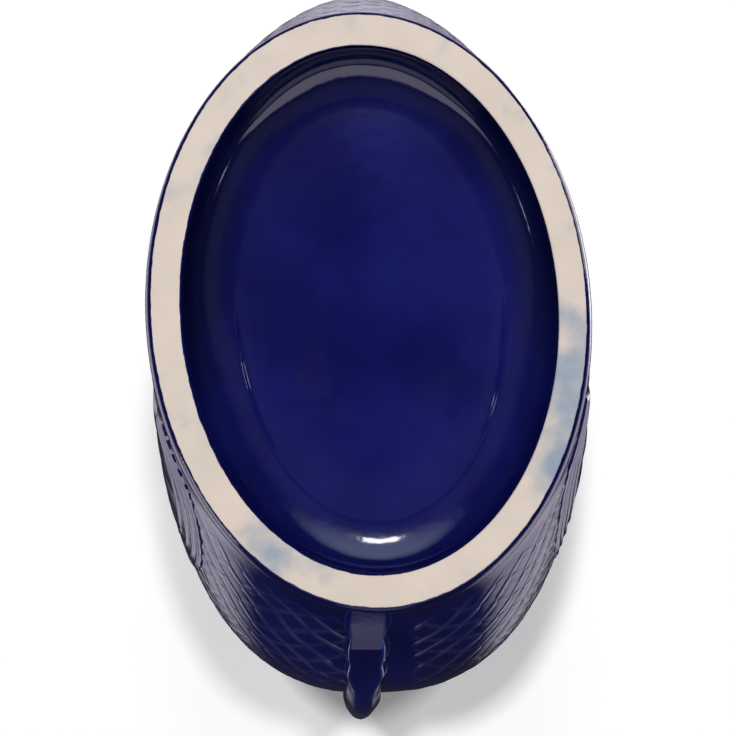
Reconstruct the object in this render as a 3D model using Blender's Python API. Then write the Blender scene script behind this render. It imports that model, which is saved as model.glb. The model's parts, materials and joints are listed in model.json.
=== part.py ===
"""Fish-shaped pottery jug: a hollow fish stands on an oval foot and its tail curls up as the handle.

Metres, +Z up. The foot stands on z = 0, the belly looks toward -Y and the tail rises on +Y.
Every clay piece is its own solid, seated on its neighbour with a thin joint between them.
"""
import math

import bmesh
import bpy
import numpy as np
from mathutils import Vector

# Oval foot; the whole foot is turned a little on the body, as the hand left it
FOOT_LENGTH = 0.1410
FOOT_WIDTH = 0.1026
FOOT_HEIGHT = 0.0060
FOOT_FACE = 0.0074
FOOT_FLARE = 0.0018
FOOT_EDGE = 0.0010
FOOT_TWIST = math.radians(3.7)
TWIST_FADE_HEIGHT = 0.0900

# Recessed floor inside the foot
PANEL_LIFT = 0.0022
PANEL_THICKNESS = 0.0065
PANEL_STEP = 0.0008
COVE_WIDTH = 0.0130

# Body as level sections: rise from the section below, width, reach to the belly side and to the tail side
BELLY_HEIGHT = 0.0540
BELLY_WIDTH = 0.1086
BELLY_FRONT = 0.0876
BELLY_BACK = 0.0918
SHOULDER_RISE = 0.0540
SHOULDER_WIDTH = 0.0980
SHOULDER_FRONT = 0.0790
SHOULDER_BACK = 0.0560
NECK_RISE = 0.0500
NECK_WIDTH = 0.0840
NECK_FRONT = 0.0600
NECK_BACK = 0.0385
HEAD_RISE = 0.0380
HEAD_WIDTH = 0.0850
HEAD_FRONT = 0.0640
HEAD_BACK = 0.0350
MOUTH_RISE = 0.0265
MOUTH_WIDTH = 0.0690
MOUTH_FRONT = 0.0720
MOUTH_BACK = 0.0200
MOUTH_TILT = 0.0085
CORNER_DIP = 0.0125
WALL = 0.0050

# Roundness of the sections, 2 for an oval: fuller on the tail side, drawn to a soft keel on the belly side
BELLY_FULLNESS = 2.38
BELLY_KEEL = 1.86
SHOULDER_FULLNESS = 2.20
SHOULDER_KEEL = 1.90
OVAL = 2.00

# Rolled lips
LIP_PROUD = 0.0052
LIP_HEIGHT = 0.0085

# Tail that forms the handle
TAIL_PROUD = 0.0094
TAIL_THICKNESS = 0.0160
STRAP_AT_FOOT = 0.0030
STRAP_AT_BELLY = 0.0055
PORT_RISE = 0.0100
CROTCH_RISE = 0.0080
LOOP_RISE = 0.0530
JOIN_BELOW_MOUTH = 0.0195
JOIN_DEPTH = 0.0190
TAIL_WIDTH_FOOT = 0.0088
TAIL_WIDTH_LOOP = 0.0110
TAIL_WIDTH_JOIN = 0.0160
TAIL_LEAN = 0.0024
SCALLOP_PITCH = 0.0125
SCALLOP_RISE = 0.0011
BORE_AT_PORT = 0.0018
BORE_IN_LOOP = 0.0034
BORE_BEND = 0.0042
BORE_END = 0.84

# Relief pieces laid on the skin; angles run round the body from +X toward the tail
SEAT_GAP = 0.0003
RELIEF_GAP = 0.0004
FIN_BELOW_SHOULDER = 0.0340
FIN_ROOT_ANGLE = math.radians(-6.0)
FIN_ROOT_RADIUS = 0.0150
FIN_LENGTH = 0.0880
FIN_UPPER_SLOPE = math.radians(4.0)
FIN_LOWER_SLOPE = math.radians(62.0)
FIN_LONGEST_RAY = 0.74
FIN_TIP_ROUND = 1.10
FIN_NOTCH = 0.03
FIN_ABOVE_FOOT = 0.0028
FIN_RAYS = 6
FIN_THICKNESS = 0.0014
FIN_RIDGE = 0.0008
GILL_BELOW_MOUTH = 0.0755
GILL_RISE = 0.0230
GILL_DEPTH = 0.0300
GILL_FRONT_ANGLE = math.radians(-58.0)
GILL_BACK_ANGLE = math.radians(34.0)
GILL_THICKNESS = 0.0028
EYE_BELOW_MOUTH = 0.0215
EYE_ANGLE = math.radians(4.0)
EYE_RADIUS = 0.0095
EYE_DOME = 0.0036
EYE_RIM = 0.0024
LOBE_LENGTH = 0.0250
LOBE_DROP = 0.0060
LOBE_TIP_DEPTH = 0.0290
LOBE_RAYS = 4
LOBE_THICKNESS = 0.0022
LOBE_RIDGE = 0.0010

# Mesh fineness
AROUND = 40
FOOT_AROUND = 56
RINGS_PER_SPAN = 6
INNER_RINGS_PER_SPAN = 3
SCALLOP_STEPS = 4
BORE_AROUND = 12
BORE_STEPS = 14
FIN_STEPS = 8
GILL_STEPS = 4
GILL_COLUMNS = 14
EYE_AROUND = 20
LOBE_STEPS = 6

SHELL_FOOT = FOOT_HEIGHT + SEAT_GAP
PANEL_RECESS = SHELL_FOOT + PANEL_LIFT
PANEL_TOP = PANEL_RECESS + PANEL_THICKNESS
SHOULDER_HEIGHT = BELLY_HEIGHT + SHOULDER_RISE
NECK_HEIGHT = SHOULDER_HEIGHT + NECK_RISE
HEAD_HEIGHT = NECK_HEIGHT + HEAD_RISE
MOUTH_HEIGHT = HEAD_HEIGHT + MOUTH_RISE
PORT_HEIGHT = BELLY_HEIGHT + PORT_RISE
CROTCH_HEIGHT = PORT_HEIGHT + CROTCH_RISE
LOOP_HEIGHT = CROTCH_HEIGHT + LOOP_RISE
JOIN_HIGH = MOUTH_HEIGHT - JOIN_BELOW_MOUTH
JOIN_LOW = JOIN_HIGH - JOIN_DEPTH
FIN_ROOT_HEIGHT = SHOULDER_HEIGHT - FIN_BELOW_SHOULDER
GILL_HEIGHT = MOUTH_HEIGHT - GILL_BELOW_MOUTH
EYE_HEIGHT = MOUTH_HEIGHT - EYE_BELOW_MOUTH
TAIL_REACH = BELLY_BACK + TAIL_PROUD
BOX_CENTRE_Y = (TAIL_REACH - BELLY_FRONT) / 2
FOOT_HALF_WIDTH = FOOT_WIDTH / 2 + FOOT_FLARE
FOOT_HALF_LENGTH = FOOT_LENGTH / 2 + FOOT_FLARE
BODY_LEVELS = (SHELL_FOOT, BELLY_HEIGHT, SHOULDER_HEIGHT, NECK_HEIGHT, HEAD_HEIGHT, MOUTH_HEIGHT)
HALF_WIDTHS = (FOOT_HALF_WIDTH, BELLY_WIDTH / 2, SHOULDER_WIDTH / 2, NECK_WIDTH / 2, HEAD_WIDTH / 2,
               MOUTH_WIDTH / 2)
FRONTS = (FOOT_HALF_LENGTH, BELLY_FRONT, SHOULDER_FRONT, NECK_FRONT, HEAD_FRONT, MOUTH_FRONT)
BACKS = (FOOT_HALF_LENGTH, BELLY_BACK, SHOULDER_BACK, NECK_BACK, HEAD_BACK, MOUTH_BACK)
BACK_POWERS = (OVAL, BELLY_FULLNESS, SHOULDER_FULLNESS, OVAL, OVAL, OVAL)
FRONT_POWERS = (OVAL, BELLY_KEEL, SHOULDER_KEEL, OVAL, OVAL, OVAL)


def smooth(value):
    """Ease from 0 to 1 with level ends."""
    held = min(max(value, 0.0), 1.0)
    return held * held * (3.0 - 2.0 * held)


def blend(start, end, share):
    return start + (end - start) * share


def along_levels(values, height):
    """Smooth curve through one value per body level, flat where the values turn, so nothing overshoots."""
    levels = np.array(BODY_LEVELS)
    points = np.array(values)
    steps = np.diff(levels)
    slopes = np.diff(points) / steps
    tangents = np.concatenate(([slopes[0]], (slopes[:-1] + slopes[1:]) / 2, [slopes[-1]]))
    for index in range(1, len(points) - 1):
        if slopes[index - 1] * slopes[index] <= 0:
            tangents[index] = 0.0
        else:
            limit = 3.0 * min(abs(slopes[index - 1]), abs(slopes[index]))
            tangents[index] = math.copysign(min(abs(tangents[index]), limit), tangents[index])
    span = int(np.clip(np.searchsorted(levels, height) - 1, 0, len(steps) - 1))
    share = (height - levels[span]) / steps[span]
    start_bend = (1 + 2 * share) * (1 - share) ** 2 * points[span]
    start_pull = share * (1 - share) ** 2 * steps[span] * tangents[span]
    end_bend = share ** 2 * (3 - 2 * share) * points[span + 1]
    end_pull = share ** 2 * (share - 1) * steps[span] * tangents[span + 1]
    return float(start_bend + start_pull + end_bend + end_pull)


def signed_power(value, power):
    return math.copysign(abs(value) ** power, value)


def skin(height, angle, inset=0.0):
    """Point on the fish's outside at a level and an angle round the body; inset moves it into the wall."""
    half_width = along_levels(HALF_WIDTHS, height) - inset
    front = along_levels(FRONTS, height) - inset
    back = along_levels(BACKS, height) - inset
    power = OVAL / along_levels(BACK_POWERS if math.sin(angle) > 0 else FRONT_POWERS, height)
    across = half_width * signed_power(math.cos(angle), power)
    along = (back - front) / 2 + (back + front) / 2 * signed_power(math.sin(angle), power)
    twist = -FOOT_TWIST * (1.0 - smooth(height / TWIST_FADE_HEIGHT))
    turned_x = across * math.cos(twist) - along * math.sin(twist)
    turned_y = across * math.sin(twist) + along * math.cos(twist)
    lean = smooth((height - NECK_HEIGHT) / (MOUTH_HEIGHT - NECK_HEIGHT))
    rise = lean * (MOUTH_TILT * math.sin(angle) - CORNER_DIP * math.cos(angle) ** 2)
    return Vector((turned_x, turned_y, height + rise))


def skin_normal(height, angle):
    step = 1e-4
    round_body = skin(height, angle + step * 10) - skin(height, angle - step * 10)
    up_body = skin(height + step, angle) - skin(height - step, angle)
    return round_body.cross(up_body).normalized()


def back_reach(height):
    """How far the tail side of the fish reaches at a level, near its middle line."""
    return max(skin(height, math.radians(turn)).y for turn in range(80, 101, 2))


def ring_angles(count):
    return [2 * math.pi * index / count for index in range(count)]


def levels_between(levels, per_span):
    """Heights from level to level, an even number to each span."""
    heights = []
    for low, high in zip(levels[:-1], levels[1:]):
        heights.extend(np.linspace(low, high, per_span, endpoint=False))
    heights.append(levels[-1])
    return [float(height) for height in heights]


def clear_scene():
    for item in list(bpy.data.objects):
        bpy.data.objects.remove(item, do_unlink=True)


def make_glaze(name, colour, roughness):
    material = bpy.data.materials.new(name)
    material.use_nodes = True
    shader = material.node_tree.nodes["Principled BSDF"]
    shader.inputs["Base Color"].default_value = (*colour, 1.0)
    shader.inputs["Roughness"].default_value = roughness
    return material


def finish_piece(name, mesh_data, material, parent, smooth_faces=True):
    """Turn the mesh's faces outward and place it in the scene under its own name."""
    bmesh.ops.recalc_face_normals(mesh_data, faces=mesh_data.faces)
    for face in mesh_data.faces:
        face.smooth = smooth_faces
    mesh = bpy.data.meshes.new(name)
    mesh_data.to_mesh(mesh)
    mesh_data.free()
    piece = bpy.data.objects.new(name, mesh)
    bpy.context.collection.objects.link(piece)
    piece.data.materials.append(material)
    piece.parent = parent
    return piece


def bridge_rings(mesh_data, rings, join_ends=False):
    """Skin a row of equal rings with quads; join_ends runs the last ring back to the first."""
    pairs = list(zip(rings[:-1], rings[1:]))
    if join_ends:
        pairs.append((rings[-1], rings[0]))
    for lower, upper in pairs:
        count = len(lower)
        for index in range(count):
            following = (index + 1) % count
            mesh_data.faces.new((lower[index], lower[following], upper[following], upper[index]))


def add_ring(mesh_data, points):
    return [mesh_data.verts.new(point) for point in points]


def close_ring(mesh_data, ring, centre):
    """Close a ring with a fan to a middle point."""
    hub = mesh_data.verts.new(centre)
    count = len(ring)
    for index in range(count):
        mesh_data.faces.new((ring[index], ring[(index + 1) % count], hub))


def middle(points):
    return sum((Vector(point) for point in points), Vector()) / len(points)


def solid_from_rings(rows, join_ends=False, last_middle=None):
    """Closed solid from a row of rings, ends fanned shut or joined into a loop."""
    mesh_data = bmesh.new()
    rings = [add_ring(mesh_data, row) for row in rows]
    bridge_rings(mesh_data, rings, join_ends)
    if not join_ends:
        close_ring(mesh_data, rings[0], middle(rows[0]))
        close_ring(mesh_data, rings[-1], last_middle or middle(rows[-1]))
    return mesh_data


def solid_from_sheet(lower_rows, upper_rows):
    """Closed solid between two equal sheets of points."""
    mesh_data = bmesh.new()
    lower = [add_ring(mesh_data, row) for row in lower_rows]
    upper = [add_ring(mesh_data, row) for row in upper_rows]
    last_row = len(lower) - 1
    last_column = len(lower[0]) - 1
    for row in range(last_row):
        for column in range(last_column):
            for sheet in (lower, upper):
                corners = (sheet[row][column], sheet[row][column + 1],
                           sheet[row + 1][column + 1], sheet[row + 1][column])
                mesh_data.faces.new(corners)
    edge = [(0, column) for column in range(last_column)]
    edge += [(row, last_column) for row in range(last_row)]
    edge += [(last_row, column) for column in range(last_column, 0, -1)]
    edge += [(row, 0) for row in range(last_row, 0, -1)]
    for (row, column), (next_row, next_column) in zip(edge, edge[1:] + edge[:1]):
        mesh_data.faces.new((lower[row][column], lower[next_row][next_column],
                             upper[next_row][next_column], upper[row][column]))
    return mesh_data


def relief_solid(spots):
    """Raised piece on the skin from rows of (height, angle, thickness)."""
    lower_rows = []
    upper_rows = []
    for row in spots:
        lower_rows.append([])
        upper_rows.append([])
        for height, angle, thickness in row:
            foot_point = skin(height, angle)
            normal = skin_normal(height, angle)
            lower_rows[-1].append(foot_point + normal * RELIEF_GAP)
            upper_rows[-1].append(foot_point + normal * (RELIEF_GAP + thickness))
    return solid_from_sheet(lower_rows, upper_rows)


def side_angle(angle, side):
    """The same place on the right (+1) or the left (-1) of the fish."""
    return angle if side > 0 else math.pi - angle


def oval(grow, height, count):
    """Level oval round the foot, grown or shrunk from the foot's outer edge."""
    points = []
    for angle in ring_angles(count):
        across = (FOOT_WIDTH / 2 + grow) * math.cos(angle)
        along = (FOOT_LENGTH / 2 + grow) * math.sin(angle)
        turned_x = across * math.cos(FOOT_TWIST) + along * math.sin(FOOT_TWIST)
        turned_y = along * math.cos(FOOT_TWIST) - across * math.sin(FOOT_TWIST)
        points.append(Vector((turned_x, turned_y, height)))
    return points


def build_foot_ring(material, parent):
    """Standing ring: flat face below, eased edges, outer side flaring to the body."""
    section = (
        (-FOOT_FACE, 0.0),
        (0.0, 0.0),
        (FOOT_EDGE, FOOT_EDGE),
        (FOOT_FLARE, FOOT_HEIGHT),
        (-FOOT_FACE - FOOT_FLARE, FOOT_HEIGHT),
        (-FOOT_FACE - FOOT_EDGE, FOOT_EDGE),
    )
    rows = [oval(grow, height, FOOT_AROUND) for grow, height in section]
    return finish_piece("foot_ring", solid_from_rings(rows, join_ends=True), material, parent, False)


def build_base_panel(material, parent):
    """Floor of the jug: rests on the foot ring inside the wall, with a coved recess below."""
    cove_edge = -FOOT_FACE - FOOT_FLARE
    panel_edge = -FOOT_FACE - COVE_WIDTH
    cove_middle = (blend(cove_edge, panel_edge, 0.45), blend(SHELL_FOOT, PANEL_RECESS, 0.75))
    recess = ((cove_edge, SHELL_FOOT), cove_middle, (panel_edge, PANEL_RECESS),
              (panel_edge - PANEL_STEP, PANEL_RECESS - PANEL_STEP))
    inside = WALL + SEAT_GAP
    angles = ring_angles(AROUND)
    rows = [oval(grow, height, AROUND) for grow, height in reversed(recess)]
    rows.append([skin(SHELL_FOOT, angle, inside) for angle in angles])
    rows.append([skin(PANEL_TOP, angle, inside) for angle in angles])
    return finish_piece("base_panel", solid_from_rings(rows), material, parent, False)


def build_body_shell(material, parent, port_cutter):
    """Hollow fish: outer skin up to the mouth, back down inside the wall, open above and below."""
    angles = ring_angles(AROUND)
    inner_levels = (SHELL_FOOT, PANEL_TOP, *BODY_LEVELS[1:])
    rows = []
    for height in levels_between(BODY_LEVELS, RINGS_PER_SPAN):
        rows.append([skin(height, angle) for angle in angles])
    for height in reversed(levels_between(inner_levels, INNER_RINGS_PER_SPAN)):
        rows.append([skin(height, angle, WALL) for angle in angles])
    body = finish_piece("body_shell", solid_from_rings(rows, join_ends=True), material, parent)
    cut(body, port_cutter)
    return body


def build_mouth_lip(material, parent):
    """Rolled lips: a soft bead set on the rim, standing proud outside."""
    inner = -WALL
    section = ((0.0, SEAT_GAP), (LIP_PROUD * 0.9, LIP_HEIGHT * 0.2), (LIP_PROUD, LIP_HEIGHT * 0.55),
               (LIP_PROUD * 0.4, LIP_HEIGHT * 0.92), (inner * 0.5, LIP_HEIGHT),
               (inner * 1.1, LIP_HEIGHT * 0.7), (inner, SEAT_GAP))
    rows = []
    for outward, up in section:
        row = []
        for angle in ring_angles(AROUND):
            row.append(skin(MOUTH_HEIGHT, angle, -outward) + Vector((0.0, 0.0, up)))
        rows.append(row)
    return finish_piece("mouth_lip", solid_from_rings(rows, join_ends=True), material, parent)


def back_reach_at(world_height):
    """Reach of the back at a height above the table, where the leaning head has raised the sections."""
    low, high = SHELL_FOOT, MOUTH_HEIGHT
    for _ in range(30):
        guess = (low + high) / 2
        if skin(guess, math.pi / 2).z < world_height:
            low = guess
        else:
            high = guess
    return skin(low, math.pi / 2).y


def tail_rails(share):
    """Inner and outer edge of the tail on its middle plane, from the foot (0) to the head (1).

    The lower half hugs the back of the fish, leaves it at the crotch and rises to the loop's middle;
    the upper half is a quarter oval that turns in to the head.
    """
    if share <= 0.5:
        height = blend(SHELL_FOOT, LOOP_HEIGHT, share * 2)
        if height < CROTCH_HEIGHT:
            inner = back_reach(height) + SEAT_GAP
        else:
            lift = smooth((height - CROTCH_HEIGHT) / LOOP_RISE)
            inner = blend(back_reach(CROTCH_HEIGHT) + SEAT_GAP, TAIL_REACH - TAIL_THICKNESS, lift)
        if height < BELLY_HEIGHT:
            strap = blend(STRAP_AT_FOOT, STRAP_AT_BELLY, (height - SHELL_FOOT) / (BELLY_HEIGHT - SHELL_FOOT))
            outer = back_reach(height) + SEAT_GAP + strap
        else:
            rise = (height - BELLY_HEIGHT) / (LOOP_HEIGHT - BELLY_HEIGHT)
            start = back_reach(BELLY_HEIGHT) + SEAT_GAP + STRAP_AT_BELLY
            outer = blend(start, TAIL_REACH, 1.0 - (1.0 - rise) ** 2)
        return (inner, height), (outer, height)
    turn = (share - 0.5) * math.pi
    edges = []
    for reach, join in ((TAIL_REACH - TAIL_THICKNESS, JOIN_LOW), (TAIL_REACH, JOIN_HIGH)):
        head = back_reach_at(join) + SEAT_GAP
        edges.append((blend(head, reach, math.cos(turn)), blend(LOOP_HEIGHT, join, math.sin(turn))))
    return tuple(edges)


def tail_share_at(height):
    """Share of the tail's lower half at a height above the table."""
    return (height - SHELL_FOOT) / (LOOP_HEIGHT - SHELL_FOOT) / 2


def tail_lean(share):
    """Sideways lean of the tail, none at its two ends."""
    return -TAIL_LEAN * math.sin(math.pi * share)


def tail_width(share):
    if share < 0.5:
        return blend(TAIL_WIDTH_FOOT, TAIL_WIDTH_LOOP, smooth(share * 2))
    return blend(TAIL_WIDTH_LOOP, TAIL_WIDTH_JOIN, smooth(share * 2 - 1))


def tail_section(share, scallop):
    """Ring of the tail: a rounded nose outside, scalloped ridges behind it, a flatter inner face."""
    (inner_y, inner_z), (outer_y, outer_z) = tail_rails(share)
    half = tail_width(share) / 2
    ridge = half + SCALLOP_RISE * scallop
    nose = [(half * 0.26, 1.0), (half * 0.50, 0.93), (half * 0.66, 0.84)]
    flank = [(ridge * 0.82, 0.69), (ridge, 0.50), (half * 0.95, 0.24), (half * 0.60, 0.0)]
    right = nose + flank
    ring = right + [(-across, depth) for across, depth in reversed(right)]
    points = []
    for across, depth in ring:
        along = blend(inner_y, outer_y, depth)
        points.append(Vector((across + tail_lean(share), along, blend(inner_z, outer_z, depth))))
    return points


def tail_stations():
    """Places along the tail, a few to each scallop, with the scallop's height at each."""
    fine = np.linspace(0.0, 1.0, 401)
    outer = [Vector((0.0, *tail_rails(float(share))[1])) for share in fine]
    length = [0.0]
    for before, after in zip(outer[:-1], outer[1:]):
        length.append(length[-1] + (after - before).length)
    count = round(length[-1] / SCALLOP_PITCH) * SCALLOP_STEPS
    stations = []
    for index in range(count + 1):
        share = float(np.interp(length[-1] * index / count, length, fine))
        stations.append((share, abs(math.sin(math.pi * index / SCALLOP_STEPS))))
    return stations


def build_tail_handle(material, parent, port_cutter):
    """Tail from the foot, up the back and round in a loop to the head, hollow down the middle."""
    rows = [tail_section(share, scallop) for share, scallop in tail_stations()]
    join_middle = middle(rows[-1])
    for point in rows[-1] + [join_middle]:
        point.y = back_reach_at(point.z) + SEAT_GAP
    tail = finish_piece("tail_handle", solid_from_rings(rows, last_middle=join_middle), material, parent)
    cut(tail, port_cutter)
    return tail


def bore_stations():
    """Centre and radius along the bore: down the narrowing tail, round a bend, level through the back wall."""
    stations = []
    low = tail_share_at(PORT_HEIGHT + BORE_BEND)
    for share in np.linspace(BORE_END, low, BORE_STEPS):
        (inner_y, inner_z), (outer_y, outer_z) = tail_rails(float(share))
        centre = Vector((tail_lean(share), (inner_y + outer_y) / 2, (inner_z + outer_z) / 2))
        stations.append((centre, blend(BORE_AT_PORT, BORE_IN_LOOP, smooth((share - low) / (0.5 - low)))))
    start = stations[-1][0]
    for bend in np.radians((30.0, 60.0, 90.0)):
        turned = Vector((0.0, BORE_BEND * (1 - math.cos(bend)), BORE_BEND * math.sin(bend)))
        stations.append((start - turned, BORE_AT_PORT))
    stations.append((Vector((start.x, back_reach(PORT_HEIGHT) - WALL * 3, PORT_HEIGHT)), BORE_AT_PORT))
    return stations


def build_port_cutter(parent):
    """Round cutter along the bore, used on both the tail and the body so the port lines up."""
    stations = bore_stations()
    across = Vector((1.0, 0.0, 0.0))
    rows = []
    for index, (centre, radius) in enumerate(stations):
        before = stations[max(index - 1, 0)][0]
        after = stations[min(index + 1, len(stations) - 1)][0]
        upward = (after - before).normalized().cross(across)
        ring = []
        for angle in ring_angles(BORE_AROUND):
            ring.append(centre + (across * math.cos(angle) + upward * math.sin(angle)) * radius)
        rows.append(ring)
    tool = make_glaze("cutter", (0.5, 0.5, 0.5), 0.5)
    cutter = finish_piece("port_cutter", solid_from_rings(rows), tool, parent)
    cutter.hide_render = True
    cutter.display_type = "WIRE"
    return cutter


def cut(piece, cutter):
    boolean = piece.modifiers.new("air_port", "BOOLEAN")
    boolean.operation = "DIFFERENCE"
    boolean.solver = "EXACT"
    boolean.object = cutter


def build_pectoral_fin(name, side, material, parent):
    """Swept-back fan of rays on the flank, thick at the root and thin at the scalloped tip.

    Its back edge hangs nearly upright and its lowest rays stop level, just above the foot.
    """
    columns = FIN_RAYS * 2
    fin_drop = FIN_ROOT_HEIGHT - SHELL_FOOT - FIN_ABOVE_FOOT
    round_speed = (skin(FIN_ROOT_HEIGHT, 0.35) - skin(FIN_ROOT_HEIGHT, 0.15)).length / 0.20
    spots = []
    for step in range(FIN_STEPS + 1):
        out = step / FIN_STEPS
        row = []
        for column in range(columns + 1):
            spread = column / columns
            ray = column % 2
            slope = blend(FIN_UPPER_SLOPE, FIN_LOWER_SLOPE, spread)
            tip = FIN_LENGTH * (1.0 - FIN_TIP_ROUND * (spread - FIN_LONGEST_RAY) ** 2)
            tip = min(tip * (1.0 - FIN_NOTCH * (1 - ray)), fin_drop / math.sin(slope))
            run = blend(FIN_ROOT_RADIUS, tip, out)
            height = FIN_ROOT_HEIGHT - run * math.sin(slope)
            angle = FIN_ROOT_ANGLE + run * math.cos(slope) / round_speed
            edge = 1.0 - 0.5 * abs(2 * spread - 1) ** 4
            thickness = (FIN_THICKNESS + FIN_RIDGE * ray) * edge * (1.0 - 0.45 * out)
            row.append((height, side_angle(angle, side), thickness))
        spots.append(row)
    return finish_piece(name, relief_solid(spots), material, parent)


def build_gill_cover(name, side, material, parent):
    """Crescent plate round the cheek, thickest along its free lower edge."""
    spots = []
    for column in range(GILL_COLUMNS + 1):
        sweep = column / GILL_COLUMNS
        angle = blend(GILL_FRONT_ANGLE, GILL_BACK_ANGLE, sweep)
        bow = (2 * sweep - 1) ** 2
        depth = GILL_DEPTH * (1.0 - 0.7 * bow)
        row = []
        for step in range(GILL_STEPS + 1):
            up = step / GILL_STEPS
            thickness = GILL_THICKNESS * (1.0 - 0.6 * bow) * (1.0 - 0.7 * up)
            row.append((GILL_HEIGHT + GILL_RISE * bow + depth * up, side_angle(angle, side), thickness))
        spots.append(row)
    return finish_piece(name, relief_solid(spots), material, parent)


def build_eye(name, side, material, parent):
    """Button eye: a domed pupil in a raised rim, laid on the cheek."""
    centre_angle = side_angle(EYE_ANGLE, side)
    round_speed = (skin(EYE_HEIGHT, centre_angle + 0.01) - skin(EYE_HEIGHT, centre_angle - 0.01)).length / 0.02
    circles = ((1.0, 0.35), (0.92, 1.0), (0.74, 1.0), (0.62, 0.5))
    mesh_data = bmesh.new()
    rows_below = []
    rows_above = []
    for share, rim in circles:
        below = []
        above = []
        for turn in ring_angles(EYE_AROUND):
            height = EYE_HEIGHT + EYE_RADIUS * share * math.sin(turn)
            angle = centre_angle + EYE_RADIUS * share * math.cos(turn) / round_speed
            normal = skin_normal(height, angle)
            below.append(skin(height, angle) + normal * RELIEF_GAP)
            above.append(skin(height, angle) + normal * (RELIEF_GAP + EYE_RIM * rim))
        rows_below.append(add_ring(mesh_data, below))
        rows_above.append(add_ring(mesh_data, above))
    bridge_rings(mesh_data, list(reversed(rows_below)) + rows_above)
    normal = skin_normal(EYE_HEIGHT, centre_angle)
    spot = skin(EYE_HEIGHT, centre_angle)
    close_ring(mesh_data, rows_below[-1], spot + normal * RELIEF_GAP)
    close_ring(mesh_data, rows_above[-1], spot + normal * (RELIEF_GAP + EYE_DOME))
    return finish_piece(name, mesh_data, material, parent)


def build_tail_lobe(name, side, material, parent):
    """Half of the tail fin: a ribbed lobe that sweeps from the handle round the back of the head."""
    root_half = tail_width(1.0) / 2 + SCALLOP_RISE + SEAT_GAP * 2
    columns = LOBE_RAYS * 2
    head_turn = (skin(HEAD_HEIGHT, math.pi / 2 - 0.05) - skin(HEAD_HEIGHT, math.pi / 2)).length / 0.05
    spots = []
    for step in range(LOBE_STEPS + 1):
        out = step / LOBE_STEPS
        row = []
        for column in range(columns + 1):
            spread = column / columns
            ray = column % 2
            fork = 0.74 + 0.26 * abs(2 * spread - 1)
            reach = root_half + LOBE_LENGTH * out * (0.92 + 0.08 * ray) * fork
            depth = blend(JOIN_DEPTH, LOBE_TIP_DEPTH, out)
            height = (JOIN_HIGH + JOIN_LOW - MOUTH_TILT) / 2 - LOBE_DROP * out ** 2 + depth * (spread - 0.5)
            thickness = (LOBE_THICKNESS + LOBE_RIDGE * ray) * (1.0 - 0.5 * out)
            row.append((height, side_angle(math.pi / 2 - reach / head_turn, side), thickness))
        spots.append(row)
    return finish_piece(name, relief_solid(spots), material, parent)


def build_jug():
    clear_scene()
    glaze = make_glaze("cobalt_glaze", (0.010, 0.014, 0.090), 0.12)
    bare_clay = make_glaze("bare_clay", (0.69, 0.61, 0.55), 0.75)
    jug_root = bpy.data.objects.new("fish_jug", None)
    bpy.context.collection.objects.link(jug_root)
    jug_root.location.y = -BOX_CENTRE_Y
    port_cutter = build_port_cutter(jug_root)
    build_foot_ring(bare_clay, jug_root)
    build_base_panel(glaze, jug_root)
    build_body_shell(glaze, jug_root, port_cutter)
    build_mouth_lip(glaze, jug_root)
    build_tail_handle(glaze, jug_root, port_cutter)
    for name, side in (("right", 1), ("left", -1)):
        build_pectoral_fin(f"pectoral_fin_{name}", side, glaze, jug_root)
        build_gill_cover(f"gill_cover_{name}", side, glaze, jug_root)
        build_eye(f"eye_{name}", side, glaze, jug_root)
        build_tail_lobe(f"tail_lobe_{name}", side, glaze, jug_root)


build_jug()
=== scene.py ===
# %% [markdown]
# # A fish-shaped pottery jug, seen from below
#
# The jug is a hollow fish that stands on an oval foot, with its mouth for a spout and its tail curled up
# as the handle. It is slip-cast, dipped in cobalt glaze, and wiped clean under the foot so that it does
# not stick to the kiln shelf. The camera looks up at that foot, as the photograph does.
#
# The solids of the jug come in as a fixed frame. They are exact but plain, so each is replaced by a finer
# piece in the same place: the frame says where a piece goes, and this script says how its surface looks.

# %% Load the frame
import json
import math

import bpy
import numpy as np
from mathutils import Matrix, Vector

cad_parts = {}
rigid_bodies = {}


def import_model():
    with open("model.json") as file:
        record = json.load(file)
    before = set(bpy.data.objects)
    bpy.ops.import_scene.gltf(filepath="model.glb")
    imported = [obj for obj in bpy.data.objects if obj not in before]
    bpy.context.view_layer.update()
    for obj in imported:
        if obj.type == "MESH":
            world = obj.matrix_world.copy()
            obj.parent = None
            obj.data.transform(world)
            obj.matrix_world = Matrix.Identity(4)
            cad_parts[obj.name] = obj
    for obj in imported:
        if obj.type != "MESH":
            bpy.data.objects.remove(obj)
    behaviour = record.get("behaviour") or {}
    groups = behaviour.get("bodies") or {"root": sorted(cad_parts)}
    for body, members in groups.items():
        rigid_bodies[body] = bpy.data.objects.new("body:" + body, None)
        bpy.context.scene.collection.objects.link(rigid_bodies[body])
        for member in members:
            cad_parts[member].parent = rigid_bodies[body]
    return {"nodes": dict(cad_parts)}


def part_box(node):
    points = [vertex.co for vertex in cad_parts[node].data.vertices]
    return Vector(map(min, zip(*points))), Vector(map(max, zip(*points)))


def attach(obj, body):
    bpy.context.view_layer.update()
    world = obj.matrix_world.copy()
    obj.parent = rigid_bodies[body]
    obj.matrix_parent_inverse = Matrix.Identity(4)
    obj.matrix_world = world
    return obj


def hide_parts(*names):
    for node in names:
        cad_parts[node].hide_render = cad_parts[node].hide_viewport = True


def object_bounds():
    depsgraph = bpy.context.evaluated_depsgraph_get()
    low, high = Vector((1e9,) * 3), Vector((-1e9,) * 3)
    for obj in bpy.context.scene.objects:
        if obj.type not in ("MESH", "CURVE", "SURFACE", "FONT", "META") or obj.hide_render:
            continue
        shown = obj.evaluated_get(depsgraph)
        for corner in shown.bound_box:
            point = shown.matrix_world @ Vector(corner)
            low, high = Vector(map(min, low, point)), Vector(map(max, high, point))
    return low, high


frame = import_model()
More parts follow.
